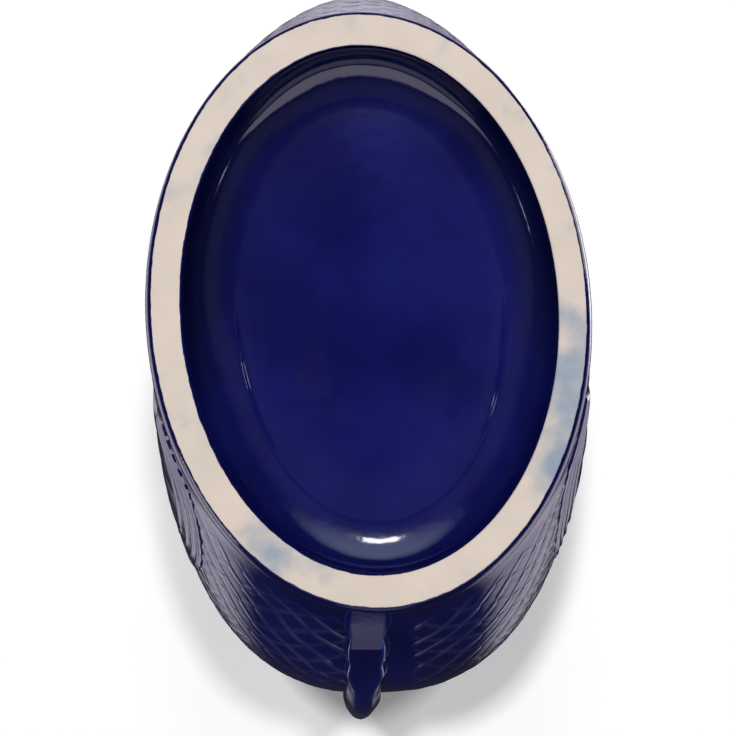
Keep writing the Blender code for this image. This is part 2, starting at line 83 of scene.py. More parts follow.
cad_low, cad_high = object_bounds()
bpy.ops.object.select_all(action="DESELECT")
foot_low, foot_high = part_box("foot_ring")
foot_middle = (foot_low + foot_high) / 2
print("frame nodes:", len(frame["nodes"]), "box in mm:", [round(x * 1000, 1) for x in cad_high - cad_low])

# %% [markdown]
# ## The skin of the fish
#
# No primitive has the shape of a fish. Its body could be sculpted, but a sculpted shape can't be typed
# into a script and could not sit exactly on the solid. So the body is described as a potter's template
# would: how wide it is, how far the belly stands forward and how far the back stands out, at six levels.
# Smooth curves run from level to level, and a superellipse rounds each section. Every piece that lies on
# the fish asks this one function where the skin is.

# %% Template of the body
LEVELS = np.array((0.0063, 0.0540, 0.1080, 0.1580, 0.1960, 0.2225))
HALF_WIDTHS = (0.0531, 0.0543, 0.0490, 0.0420, 0.0425, 0.0345)
FRONTS = (0.0723, 0.0876, 0.0790, 0.0600, 0.0640, 0.0720)
BACKS = (0.0723, 0.0918, 0.0560, 0.0385, 0.0350, 0.0200)
BACK_POWERS = (2.0, 2.38, 2.2, 2.0, 2.0, 2.0)
FRONT_POWERS = (2.0, 1.86, 1.9, 2.0, 2.0, 2.0)
FOOT_TOP = LEVELS[0]
BELLY_HEIGHT = LEVELS[1]
NECK_HEIGHT = LEVELS[3]
HEAD_HEIGHT = LEVELS[4]
MOUTH_HEIGHT = LEVELS[5]
MOUTH_TILT = 0.0085
CORNER_DIP = 0.0125
FOOT_TWIST = math.radians(3.7)
TWIST_FADE_HEIGHT = 0.090
WALL = 0.0050
TURN_STEP, LEVEL_STEP = 0.002, 0.0002


def ease(value):
    """Ease from 0 to 1 with level ends."""
    held = np.clip(value, 0.0, 1.0)
    return held * held * (3.0 - 2.0 * held)


def blend(start, end, share):
    return start + (end - start) * share


def level_curve(values, height):
    """Smooth curve through one value per level, flat where the values turn."""
    points = np.array(values)
    steps = np.diff(LEVELS)
    slopes = np.diff(points) / steps
    pulls = np.concatenate(([slopes[0]], (slopes[:-1] + slopes[1:]) / 2, [slopes[-1]]))
    for place in range(1, len(points) - 1):
        before, after = slopes[place - 1], slopes[place]
        limit = 3.0 * min(abs(before), abs(after)) if before * after > 0 else 0.0
        pulls[place] = np.clip(pulls[place], -limit, limit)
    span = np.clip(np.searchsorted(LEVELS, height) - 1, 0, len(steps) - 1)
    share = (height - LEVELS[span]) / steps[span]
    start = (1 + 2 * share) * (1 - share) ** 2 * points[span]
    start = start + share * (1 - share) ** 2 * steps[span] * pulls[span]
    end = share ** 2 * (3 - 2 * share) * points[span + 1]
    return start + end + share ** 2 * (share - 1) * steps[span] * pulls[span + 1]


def skin(height, angle, inset=0.0):
    """Points on the outside of the fish at levels and angles round the body; inset moves into the wall."""
    height, angle = np.broadcast_arrays(np.asarray(height, float), np.asarray(angle, float))
    half_width = level_curve(HALF_WIDTHS, height) - inset
    front = level_curve(FRONTS, height) - inset
    back = level_curve(BACKS, height) - inset
    turned_back = np.sin(angle) > 0
    power = 2.0 / np.where(turned_back, level_curve(BACK_POWERS, height), level_curve(FRONT_POWERS, height))
    across = half_width * np.sign(np.cos(angle)) * np.abs(np.cos(angle)) ** power
    along = np.sign(np.sin(angle)) * np.abs(np.sin(angle)) ** power
    along = (back - front) / 2 + (back + front) / 2 * along
    twist = -FOOT_TWIST * (1.0 - ease(height / TWIST_FADE_HEIGHT))
    lean = ease((height - NECK_HEIGHT) / (MOUTH_HEIGHT - NECK_HEIGHT))
    rise = lean * (MOUTH_TILT * np.sin(angle) - CORNER_DIP * np.cos(angle) ** 2)
    x = across * np.cos(twist) - along * np.sin(twist)
    y = across * np.sin(twist) + along * np.cos(twist)
    return np.stack((x + foot_middle.x, y + foot_middle.y, height + rise), axis=-1)


def skin_normal(height, angle):
    """Which way the skin faces there, from two short steps along it."""
    round_body = skin(height, angle + TURN_STEP) - skin(height, angle - TURN_STEP)
    up_body = skin(height + LEVEL_STEP, angle) - skin(height - LEVEL_STEP, angle)
    normal = np.cross(round_body, up_body)
    return normal / np.linalg.norm(normal, axis=-1, keepdims=True)


def on_skin(height, angle, lift):
    """Points that stand off the skin by lift."""
    return skin(height, angle) + skin_normal(height, angle) * np.asarray(lift)[..., None]


belly_round = skin(BELLY_HEIGHT, np.linspace(0.0, 2 * np.pi, 200))
print("belly width in mm:", round(float(np.ptp(belly_round[:, 0])) * 1000, 1))

# %% [markdown]
# ## Small tools
#
# Blender's operators act on whatever is selected, so each piece starts with nothing selected. These few
# helpers name a fresh primitive, read and write all its points at once, select edges, apply a modifier,
# store values for the materials, and hang the finished piece on the jug in place of its solid.

# %% Helpers for pieces
SMOOTH_BELOW = math.radians(50)


def named(name):
    """Name the primitive that was just added."""
    piece = bpy.context.object
    piece.name = name
    piece.data.name = name
    return piece


def points_of(piece):
    points = np.empty(len(piece.data.vertices) * 3)
    piece.data.vertices.foreach_get("co", points)
    return points.reshape(-1, 3)


def place_points(piece, points):
    piece.data.vertices.foreach_set("co", np.ascontiguousarray(points).ravel())
    piece.data.update()


def only(piece):
    """Make one piece the selected and active one."""
    bpy.ops.object.select_all(action="DESELECT")
    piece.select_set(True)
    bpy.context.view_layer.objects.active = piece


def clear_selection(piece):
    """Make a piece active with nothing of its mesh selected, ready for choosing edges."""
    only(piece)
    bpy.ops.object.mode_set(mode="EDIT")
    bpy.ops.mesh.select_mode(type="EDGE")
    bpy.ops.mesh.select_all(action="DESELECT")
    bpy.ops.object.mode_set(mode="OBJECT")


def select_edges(piece, wanted):
    """Select the edges that wanted accepts, by their two end points, and enter edit mode."""
    clear_selection(piece)
    points = points_of(piece)
    for edge in piece.data.edges:
        edge.select = bool(wanted(points[edge.vertices[0]], points[edge.vertices[1]]))
    bpy.ops.object.mode_set(mode="EDIT")


def select_open_edges(piece):
    """Select the edges that border a hole, and stay in edit mode."""
    clear_selection(piece)
    bpy.ops.object.mode_set(mode="EDIT")
    bpy.ops.mesh.select_non_manifold(extend=False, use_wire=False, use_boundary=True,
                                     use_multi_face=False, use_non_contiguous=False, use_verts=False)


def turn_faces_out():
    """Turn every face outward and leave edit mode."""
    bpy.ops.mesh.select_all(action="SELECT")
    bpy.ops.mesh.normals_make_consistent(inside=False)
    bpy.ops.object.mode_set(mode="OBJECT")


def apply_modifier(piece, kind, **settings):
    only(piece)
    modifier = piece.modifiers.new(kind.lower(), kind)
    for setting, value in settings.items():
        setattr(modifier, setting, value)
    bpy.ops.object.modifier_apply(modifier=modifier.name)


def mark(piece, values, name="thin_glaze"):
    """Store one value per point for a material to read; thin_glaze is 1 where glaze runs thin over an edge."""
    attribute = piece.data.attributes.new(name, "FLOAT", "POINT")
    attribute.data.foreach_set("value", np.ascontiguousarray(values, np.float32))


def hang(piece, material, slot, *nodes):
    """Finish a piece: smooth shading, its material, and its place on the jug."""
    only(piece)
    bpy.ops.object.shade_smooth_by_angle(angle=SMOOTH_BELOW)
    piece.data.materials.clear()
    piece.data.materials.append(material)
    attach(piece, "root")
    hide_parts(*nodes)
    print(piece.name, "faces:", len(piece.data.polygons), "stands for", ", ".join(nodes))


print("selected before the first piece:", len(bpy.context.selected_objects))

# %% [markdown]
# ## Cobalt glaze
#
# A glossy earthenware glaze is coloured glass about a third of a millimetre thick over pale clay. Where it
# pools it is nearly black-blue, and where it runs thin over a raised edge the clay lights it up, which
# potters call a break. The surface is as smooth as window glass but never flat: it has a faint orange-peel
# ripple, so reflections wobble. A slow noise mixes two depths of blue. Values stored on the points of a piece
# say where the glaze has gathered thickest and where it breaks. On the body a UV map gives the fine lines
# along the scales, lightened toward grey-violet: partly where the glaze breaks, partly a painted highlight.

# %% Glaze material
def hex_colour(code):
    """sRGB hex to the linear colour that shaders work in."""
    parts = [int(code[place:place + 2], 16) / 255 for place in (1, 3, 5)]
    linear = [part / 12.92 if part <= 0.04045 else ((part + 0.055) / 1.055) ** 2.4 for part in parts]
    return (*linear, 1.0)


def add_node(tree, kind, settings=None, inputs=None):
    """Add one shader node; settings are its own properties, inputs its sockets, as values or as links."""
    node = tree.nodes.new("ShaderNode" + kind)
    for setting, value in (settings or {}).items():
        setattr(node, setting, value)
    for socket, value in (inputs or {}).items():
        if isinstance(value, bpy.types.NodeSocket):
            tree.links.new(value, node.inputs[socket])
        else:
            node.inputs[socket].default_value = value
    return node


def new_material(name):
    material = bpy.data.materials.new(name)
    material.use_nodes = True
    tree = material.node_tree
    shader = tree.nodes["Principled BSDF"]
    place = add_node(tree, "TexCoord").outputs["Object"]
    return material, tree, shader, place


def per_mm(millimetres):
    """Scale of a noise whose bumps are about this wide."""
    return 1000.0 / millimetres


GLAZE_POOL = hex_colour("#05071f")
GLAZE_DEEP = hex_colour("#080c49")
GLAZE_BODY = hex_colour("#11165c")
GLAZE_THIN = hex_colour("#2449a4")
# grey-violet of the scale lines: partly thin glaze over their edges, partly a painted highlight on their ridges
SCALE_LINE_BREAK_AND_HIGHLIGHT = hex_colour("#5b5a86")


def scale_lines(tree):
    """1 along the edges of the scales, where one of the two counts in the UV map passes a whole number."""
    counts = add_node(tree, "UVMap", {"uv_map": "scale_counts"})
    parts = add_node(tree, "SeparateXYZ", None, {"Vector": counts.outputs["UV"]})
    lines = []
    for axis, weight in (("X", 1.0), ("Y", 0.6)):
        fold = add_node(tree, "Math", {"operation": "PINGPONG"}, {0: parts.outputs[axis], 1: 0.5})
        line = add_node(tree, "MapRange", {"interpolation_type": "SMOOTHSTEP"},
                        {"Value": fold.outputs["Value"], "From Min": 0.22, "From Max": 0.0, "To Max": weight})
        lines.append(line.outputs["Result"])
    net = add_node(tree, "Math", {"operation": "MAXIMUM"}, {0: lines[0], 1: lines[1]})
    zone = add_node(tree, "Attribute", {"attribute_name": "scaled_zone"})
    return add_node(tree, "Math", {"operation": "MULTIPLY"},
                    {0: net.outputs["Value"], 1: zone.outputs["Fac"]}).outputs["Value"]


def cobalt_glaze(name, scaled):
    material, tree, shader, place = new_material(name)
    pools = add_node(tree, "TexNoise", inputs={"Vector": place, "Scale": per_mm(28), "Detail": 3.0})
    pooling = add_node(tree, "MapRange", {"interpolation_type": "SMOOTHSTEP"},
                       {"Value": pools.outputs["Fac"], "From Min": 0.35, "From Max": 0.68})
    body = add_node(tree, "Mix", {"data_type": "RGBA"},
                    {"Factor": pooling.outputs["Result"], "A": GLAZE_DEEP, "B": GLAZE_BODY})
    pooled = add_node(tree, "Attribute", {"attribute_name": "pooled_glaze"})
    body = add_node(tree, "Mix", {"data_type": "RGBA"},
                    {"Factor": pooled.outputs["Fac"], "A": body.outputs["Result"], "B": GLAZE_POOL})
    peel = add_node(tree, "TexNoise", inputs={"Vector": place, "Scale": per_mm(5), "Detail": 2.0})
    ripple = add_node(tree, "Bump", None,
                      {"Height": peel.outputs["Fac"], "Strength": 0.10, "Distance": 0.0006})
    if scaled:
        lines = scale_lines(tree)
        # how far the scale lines turn grey-violet: partly where the glaze breaks, partly a painted highlight
        line_break_and_highlight = add_node(tree, "MapRange", None,
                            {"Value": peel.outputs["Fac"], "From Min": 0.35, "From Max": 0.65,
                             "To Min": 0.14, "To Max": 0.36})
        thin = add_node(tree, "Math", {"operation": "MULTIPLY"},
                        {0: lines, 1: line_break_and_highlight.outputs["Result"]}).outputs["Value"]
        ripple = add_node(tree, "Bump", None,
                          {"Height": lines, "Strength": 0.65, "Distance": 0.00024,
                           "Normal": ripple.outputs["Normal"]})
    else:
        thin = add_node(tree, "Attribute", {"attribute_name": "thin_glaze"}).outputs["Fac"]
    # on the body the scale lines take a painted highlight as well as the glaze's break
    colour = add_node(tree, "Mix", {"data_type": "RGBA"},
                      {"Factor": thin, "A": body.outputs["Result"], "B": SCALE_LINE_BREAK_AND_HIGHLIGHT if scaled else GLAZE_THIN})
    tree.links.new(colour.outputs["Result"], shader.inputs["Base Color"])
    gloss = add_node(tree, "MapRange", None,
                     {"Value": pools.outputs["Fac"], "To Min": 0.05, "To Max": 0.11})
    tree.links.new(gloss.outputs["Result"], shader.inputs["Roughness"])
    tree.links.new(ripple.outputs["Normal"], shader.inputs["Normal"])
    shader.inputs["IOR"].default_value = 1.52
    return material


glaze = cobalt_glaze("cobalt_earthenware_glaze", scaled=False)
# the body's glaze, with a painted highlight along the scale lines
scaled_glaze = cobalt_glaze("cobalt_glaze_break_and_painted_highlight_on_scales", scaled=True)
print("glazes:", glaze.name, scaled_glaze.name)

# %% [markdown]
# ## Bare clay under the foot
#
# The standing face is wiped before firing, so it shows the biscuit clay: cream, matt, a little chalky, with
# the glaze creeping over its two edges and blue smears where the sponge missed. All of this is drawn by
# noise: a value on the points of the ring says how near its glazed edges are, noise makes that line ragged,
# and on the face itself soft patches of blue gather where the sponge left them.

# %% Foot material
CLAY_PALE = hex_colour("#dccec4")
CLAY_WARM = hex_colour("#cabdb1")
CLAY_STAIN = hex_colour("#7e92a9")
# where the sponge left most blue: place on the foot, reach and strength
SMEARS = (
    ((0.046, 0.018, 0.0), 0.036, 0.24),
    ((-0.023, 0.053, 0.0), 0.024, 0.13),
    ((0.049, 0.032, 0.0), 0.010, 0.30),
)


def bare_clay():
    material, tree, shader, place = new_material("wiped_biscuit_earthenware")
    mottle = add_node(tree, "TexNoise", inputs={"Vector": place, "Scale": per_mm(9), "Detail": 4.0})
    clay = add_node(tree, "Mix", {"data_type": "RGBA"},
                    {"Factor": mottle.outputs["Fac"], "A": CLAY_PALE, "B": CLAY_WARM})
    smears = add_node(tree, "TexNoise", inputs={"Vector": place, "Scale": per_mm(14), "Detail": 5.0})
    gathered = smears.outputs["Fac"]
    for point, reach, strength in SMEARS:
        away = add_node(tree, "VectorMath", {"operation": "DISTANCE"}, {0: place, 1: point})
        near = add_node(tree, "MapRange", {"interpolation_type": "SMOOTHSTEP"},
                        {"Value": away.outputs["Value"], "From Min": reach, "From Max": reach * 0.2,
                         "To Max": strength})
        gathered = add_node(tree, "Math", {"operation": "ADD"},
                            {0: gathered, 1: near.outputs["Result"]}).outputs["Value"]
    stain = add_node(tree, "MapRange", {"interpolation_type": "SMOOTHSTEP"},
                     {"Value": gathered, "From Min": 0.54, "From Max": 0.88, "To Max": 0.85})
    face = add_node(tree, "Mix", {"data_type": "RGBA"},
                    {"Factor": stain.outputs["Result"], "A": clay.outputs["Result"], "B": CLAY_STAIN})
    creep = add_node(tree, "TexNoise", inputs={"Vector": place, "Scale": per_mm(3), "Detail": 3.0})
    edge = add_node(tree, "Attribute", {"attribute_name": "glaze_edge"})
    line = add_node(tree, "Math", {"operation": "MULTIPLY_ADD"},
                    {0: creep.outputs["Fac"], 1: 0.16, 2: edge.outputs["Fac"]})
    dipped = add_node(tree, "MapRange", {"interpolation_type": "SMOOTHSTEP"},
                      {"Value": line.outputs["Value"], "From Min": 1.02, "From Max": 1.06})
    colour = add_node(tree, "Mix", {"data_type": "RGBA"},
                      {"Factor": dipped.outputs["Result"], "A": face.outputs["Result"], "B": GLAZE_DEEP})
    tree.links.new(colour.outputs["Result"], shader.inputs["Base Color"])
    gloss = add_node(tree, "MapRange", None,
                     {"Value": dipped.outputs["Result"], "To Min": 0.78, "To Max": 0.10})
    tree.links.new(gloss.outputs["Result"], shader.inputs["Roughness"])
    grit = add_node(tree, "TexNoise", inputs={"Vector": place, "Scale": per_mm(0.9), "Detail": 3.0})
    tooth = add_node(tree, "Bump", None,
                     {"Height": grit.outputs["Fac"], "Strength": 0.12, "Distance": 0.0003})
    tree.links.new(tooth.outputs["Normal"], shader.inputs["Normal"])
    return material


clay = bare_clay()
print("clay:", clay.name)

# %% [markdown]
# ## Foot ring
#
# The oval ring that the jug stands on. It could be a squashed torus, but a torus has a round section and
# this one has a flat, wiped face. So one oval loop of edges is extruded round the section of the ring:
# down its outer side, across the face and up its inner side, then bridged shut, and a small bevel softens
# the two edges of the face. The inner oval sits a little to one side, as on the real ring.

# %% Model the foot ring
FACE_HALF_WIDTH = 0.0513
FACE_HALF_LENGTH = 0.0705
WELL_HALF_WIDTH = 0.0443
WELL_HALF_LENGTH = 0.0629
WELL_SHIFT = 0.0004
RING_TOP = 0.0066
HEEL_HEIGHT = 0.0012
FLARE_AT_HEEL, FLARE_AT_TOP = 0.0009, 0.0018
INNER_LEAN = 0.0004
RING_POINTS = 192
# how far below a top loop its edges are still taken for it
NEAR = 0.0001


def oval_sweep(name, loops, count):
    """Extrude an oval loop through (half width, half length, height, shift) and leave edit mode on."""
    bpy.ops.object.select_all(action="DESELECT")
    bpy.ops.mesh.primitive_circle_add(vertices=count, radius=1.0, fill_type="NOTHING")
    piece = named(name)
    bpy.ops.object.mode_set(mode="EDIT")
    bpy.ops.mesh.select_mode(type="EDGE")
    bpy.ops.mesh.select_all(action="SELECT")
    last_width, last_length, last_height, last_shift = 1.0, 1.0, 0.0, 0.0
    for step, (width, length, height, shift) in enumerate(loops):
        if step:
            bpy.ops.mesh.extrude_edges_move()
        bpy.ops.transform.resize(value=(width / last_width, length / last_length, 1.0),
                                 center_override=(last_shift, 0.0, last_height))
        bpy.ops.transform.translate(value=(shift - last_shift, 0.0, height - last_height))
        last_width, last_length, last_height, last_shift = width, length, height, shift
    return piece


def stand_on_foot(piece):
    """Turn an oval piece with the foot and set it under the jug."""
    piece.rotation_euler.z = -FOOT_TWIST
    piece.location = (foot_middle.x, foot_middle.y, 0.0)
    only(piece)
    bpy.ops.object.transform_apply(location=True, rotation=True, scale=True)


ring_loops = [
    (FACE_HALF_WIDTH + FLARE_AT_TOP, FACE_HALF_LENGTH + FLARE_AT_TOP, RING_TOP, 0.0),
    (FACE_HALF_WIDTH + FLARE_AT_HEEL, FACE_HALF_LENGTH + FLARE_AT_HEEL, HEEL_HEIGHT, 0.0),
    (FACE_HALF_WIDTH, FACE_HALF_LENGTH, 0.0, 0.0),
    (WELL_HALF_WIDTH, WELL_HALF_LENGTH, 0.0, WELL_SHIFT),
    (WELL_HALF_WIDTH - INNER_LEAN, WELL_HALF_LENGTH - INNER_LEAN, RING_TOP, WELL_SHIFT),
]
foot_ring = oval_sweep("foot_ring_wiped", ring_loops, RING_POINTS)
bpy.ops.object.mode_set(mode="OBJECT")
select_edges(foot_ring, lambda a, b: min(a[2], b[2]) > RING_TOP - NEAR)
bpy.ops.mesh.bridge_edge_loops()
turn_faces_out()
print("ring loops:", len(ring_loops), "points in each:", RING_POINTS)

# %% Soften the edges of the face
EDGE_BEVEL = 0.0005
FACE_CUTS = 7
# edges of the face that are longer than this run across it, the shorter ones along its two rims
ACROSS_FACE = 0.004


def on_face(a, b):
    return abs(a[2]) < 1e-6 and abs(b[2]) < 1e-6


select_edges(foot_ring, lambda a, b: on_face(a, b) and np.linalg.norm(a - b) < ACROSS_FACE)
bpy.ops.mesh.bevel(offset=EDGE_BEVEL, segments=3)
turn_faces_out()
select_edges(foot_ring, lambda a, b: on_face(a, b) and np.linalg.norm(a - b) > ACROSS_FACE)
bpy.ops.mesh.subdivide(number_cuts=FACE_CUTS)
turn_faces_out()
print("ring faces after softening:", len(foot_ring.data.polygons))

# %% Say where the ring is glazed
# above this height the ring's two sides are dipped; the face counts from 0 in its middle to 1 at its rims
GLAZED_ABOVE, DIPPED = 0.0004, 1.1

points = points_of(foot_ring)
bearing = np.arctan2(points[:, 1], points[:, 0])
outer_rim = 1.0 / np.hypot(np.cos(bearing) / FACE_HALF_WIDTH, np.sin(bearing) / FACE_HALF_LENGTH)
inner_rim = 1.0 / np.hypot(np.cos(bearing) / WELL_HALF_WIDTH, np.sin(bearing) / WELL_HALF_LENGTH)
between = (np.hypot(points[:, 0], points[:, 1]) - inner_rim) / (outer_rim - inner_rim)
mark(foot_ring, np.where(points[:, 2] > GLAZED_ABOVE, DIPPED, np.abs(2.0 * between - 1.0)), "glaze_edge")
stand_on_foot(foot_ring)
hang(foot_ring, clay, "bare_clay", "foot_ring")

# %% [markdown]
# ## Glazed well
#
# Inside the ring the underside is hollow: a cove drops from the ring's inner edge and rounds into a low
# oval panel, with a groove between them that deepens toward the tail. It is the same job as the ring, an
# oval loop extruded along a section, with a subdivision modifier to round the cove. Afterwards the points
# of each loop are moved: the cove is wider at the belly, and the groove is sharp only at the sides.

# %% Model the well
# inset from the ring, and the rise there at the belly, at the sides and at the tail
well_section = [
    (0.0001, 0.0006, 0.0006, 0.0006), (0.0005, 0.0016, 0.0016, 0.0016), (0.0013, 0.0036, 0.0036, 0.0036),
    (0.0030, 0.0056, 0.0056, 0.0056), (0.0056, 0.0071, 0.0071, 0.0071), (0.0088, 0.0078, 0.0080, 0.0080),
    (0.0114, 0.0080, 0.0084, 0.0084), (0.0126, 0.0080, 0.0087, 0.0085), (0.0134, 0.0080, 0.0080, 0.0084),
    (0.0150, 0.0079, 0.0077, 0.0081), (0.0240, 0.0076, 0.0074, 0.0074), (0.0340, 0.0073, 0.0072, 0.0072),
    (0.0410, 0.0072, 0.0072, 0.0072),
]
# two loops inside the jug, over the ring, that close the piece above
WELL_TOP = 0.0150
hidden_loops = [(0.0470, 0.0660, WELL_TOP, 0.0), (0.0466, 0.0652, 0.0080, 0.0)]
SIDE_SHARE = 0.95
WELL_POINTS = 96

well_loops = list(hidden_loops)
for inset, _, _, tail_rise in well_section:
    well_loops.append((WELL_HALF_WIDTH - inset * SIDE_SHARE, WELL_HALF_LENGTH - inset, tail_rise, WELL_SHIFT))
well = oval_sweep("base_well_glazed", well_loops, WELL_POINTS)
bpy.ops.object.mode_set(mode="OBJECT")
print("well loops:", len(well_loops))

# %% Shape the cove and the groove
# how wide the cove is, as a share of the section above, at the belly and at the sides
BELLY_COVE, SIDE_COVE = 1.28, 0.66

points = points_of(well)
for step, (inset, belly_rise, side_rise, tail_rise) in enumerate(well_section, len(hidden_loops)):
    loop = slice(step * WELL_POINTS, (step + 1) * WELL_POINTS)
    cosine = (points[loop, 0] - WELL_SHIFT) / (WELL_HALF_WIDTH - inset * SIDE_SHARE)
    sine = points[loop, 1] / (WELL_HALF_LENGTH - inset)
    # sine runs from -1 at the belly to 1 at the tail, where the cove is as the section has it
    spread = blend(SIDE_COVE, BELLY_COVE, ease((-sine - 0.72) / 0.28))
    spread = blend(spread, 1.0, ease((sine + 0.2) / 0.6))
    # from 11 mm in, where the groove is, a loop keeps the inset of the section
    wide = inset * blend(spread, 1.0, ease((inset - 0.0060) / 0.0050))
    points[loop, 0] = WELL_SHIFT + (WELL_HALF_WIDTH - wide * SIDE_SHARE) * cosine
    points[loop, 1] = (WELL_HALF_LENGTH - wide) * sine
    rise = blend(belly_rise, side_rise, ease((sine + 0.25) / 0.55))
    points[loop, 2] = blend(rise, tail_rise, ease((sine - 0.45) / 0.30))
place_points(well, points)
print("well rises to mm:", round(float(points[len(hidden_loops) * WELL_POINTS:, 2].max()) * 1000, 2))

# %% Close and round the well
FLOOR_INSET, TOP_INSET = 0.0012, 0.002
POOL_DEPTH, POOL_AT_TAIL = 0.8, 0.35

bpy.ops.object.mode_set(mode="EDIT")
bpy.ops.mesh.edge_face_add()
bpy.ops.mesh.inset(thickness=FLOOR_INSET, depth=0.0)
bpy.ops.object.mode_set(mode="OBJECT")
select_edges(well, lambda a, b: min(a[2], b[2]) > WELL_TOP - NEAR)
bpy.ops.mesh.edge_face_add()
bpy.ops.mesh.inset(thickness=TOP_INSET, depth=0.0)
turn_faces_out()
apply_modifier(well, "SUBSURF", levels=2, render_levels=2)
points = points_of(well)
# glaze gathers in the cove, most at the belly
inward = 1.0 - np.hypot((points[:, 0] - WELL_SHIFT) / WELL_HALF_WIDTH, points[:, 1] / WELL_HALF_LENGTH)
pooled = POOL_DEPTH * (1.0 - ease((inward - 0.05) / 0.28))
pooled = pooled * blend(1.0, POOL_AT_TAIL, ease((points[:, 1] + 0.005) / 0.040))
mark(well, pooled, "pooled_glaze")
stand_on_foot(well)
hang(well, glaze, "cobalt_glaze", "base_panel")

# %% [markdown]
# ## Scaled body
#
# The body starts as an open cylinder, cut into rings by subdividing its upright edges, and every point is
# laid on the template. The scales are small diamonds in slanting rows, each tilted so that its lower point
# stands proud of the row below. They could be a bump in the material, but then the outline stays smooth and
# the exported shape loses them. So each point gets a weight for how high its scale stands there, and a
# Displace modifier raises the skin by that weight along its own normals.

# %% Scale pattern
SCALES_AROUND = 44
SCALE_ROW = 0.0033
SCALE_STEP = 0.30
SCALE_RISE = 0.00035
FLANK_LEVEL = 0.030
# the scales fade in over the foot and out under the gills: start and run of each
FADE_IN, FADE_IN_RUN = 0.0085, 0.0070
FADE_OUT, FADE_OUT_RUN = 0.146, 0.020
GUTTER_START, GUTTER_END = 0.0060, 0.0085

half_round = np.linspace(0.0, np.pi, 721)
steps_round = np.linalg.norm(np.diff(skin(FLANK_LEVEL, half_round + np.pi / 2), axis=0), axis=1)
length_round = np.concatenate(([0.0], np.cumsum(steps_round)))


def from_tail(angle):
    """How far a place on the skin is from the middle of the back, measured round either side."""
    turned = np.abs((angle - np.pi / 2 + np.pi) % (2 * np.pi) - np.pi)
    return np.interp(turned, half_round, length_round)


def scale_grid(height, angle):
    """Slanting coordinates on the skin: two counts that go up by one from scale to scale, to either side."""
    across = from_tail(angle) / length_round[-1] * SCALES_AROUND / 2
    tall = height / (2 * SCALE_ROW)
    # two slow waves, because rows cut by hand don't lie quite even
    tall = tall + 0.12 * np.sin(5 * angle + 1.6 * tall) + 0.08 * np.sin(13 * angle - 2.3 * tall)
    return tall + across, tall - across


def scale_height(first, second):
    """How high a scale stands, 0 to 1: most at its lower point, and stepped down along its two lower edges."""
    first_in, second_in = first % 1.0, second % 1.0
    tilt = 1.0 - (first_in + second_in) / 2
    under = 1.0 - (np.maximum(first_in, second_in) + 1.0 + np.minimum(first_in, second_in)) / 2
    step = ease(np.minimum(first_in, second_in) / SCALE_STEP)
    return blend(np.maximum(under, 0.0), tilt, step)


def scaled_zone(height, angle):
    """1 where the skin is scaled: between a plain band over the foot and the gills, clear of the tail."""
    band = ease((height - FADE_IN) / FADE_IN_RUN) * (1.0 - ease((height - FADE_OUT) / FADE_OUT_RUN))
    return band * ease((from_tail(angle) - GUTTER_START) / (GUTTER_END - GUTTER_START))


print("scales round the belly:", SCALES_AROUND, "rise in mm:", SCALE_RISE * 1000)

# %% Model the body
AROUND = 448
BODY_ROWS = (51, 4)
# most rows lie where the scales are: shares of the rows, and the levels they reach
FINE_SHARE, FINE_TOP = 0.60, 0.072
SCALED_SHARE, SCALED_TOP = 0.93, 0.168


def tube(name, around, rows):
    """Open cylinder split into rows, pass by pass; also returns each point's turn and share of the height."""
    bpy.ops.object.select_all(action="DESELECT")
    bpy.ops.mesh.primitive_cylinder_add(vertices=around, radius=1.0, depth=1.0, end_fill_type="NOTHING")
    piece = named(name)
    for split in rows:
        select_edges(piece, lambda a, b: abs(a[2] - b[2]) > 1e-5)
        bpy.ops.mesh.subdivide(number_cuts=split - 1)
        bpy.ops.object.mode_set(mode="OBJECT")
    points = points_of(piece)
    return piece, np.arctan2(points[:, 1], points[:, 0]), points[:, 2] + 0.5


body, turn, share = tube("body_scaled", AROUND, BODY_ROWS)
row_shares = (0.0, FINE_SHARE, SCALED_SHARE, 1.0)
level = np.interp(share, row_shares, (FOOT_TOP, FINE_TOP, SCALED_TOP, MOUTH_HEIGHT))
place_points(body, skin(level, turn))
weights = body.vertex_groups.new(name="scales")
for point, weight in enumerate(scale_height(*scale_grid(level, turn)) * scaled_zone(level, turn)):
    weights.add([point], float(weight), "REPLACE")
apply_modifier(body, "DISPLACE", vertex_group="scales", strength=SCALE_RISE, mid_level=0.0)
mark(body, scaled_zone(level, turn), "scaled_zone")
print("points on the outside of the body:", len(level))

# %% [markdown]
# The glaze also breaks along the fine edges of the scales, and a painted highlight in grey-violet lightens them
# too. To draw those lines sharper than the mesh, every face corner gets the slanting scale counts as its UV
# place, and the material finds the lines where a count passes a whole number. The counts run from the tail round
# both sides alike, so they meet at the belly.

# %% Scale counts as a UV map
corners = np.empty(len(body.data.loops), int)
body.data.loops.foreach_get("vertex_index", corners)
first, second = scale_grid(level[corners], turn[corners])
scale_map = body.data.uv_layers.new(name="scale_counts")
scale_map.data.foreach_set("uv", np.stack((first, second), axis=-1).astype(np.float32).ravel())
print("face corners with scale counts:", len(corners))

# %% [markdown]
# The inside of the jug is smooth. It is a second, plainer tube, set in by the thickness of the wall, joined
# to the outside and bridged to it at the mouth and at the foot.

# %% Line the body
LINING_ROWS = (10,)
LINING_FOOT = 0.0100

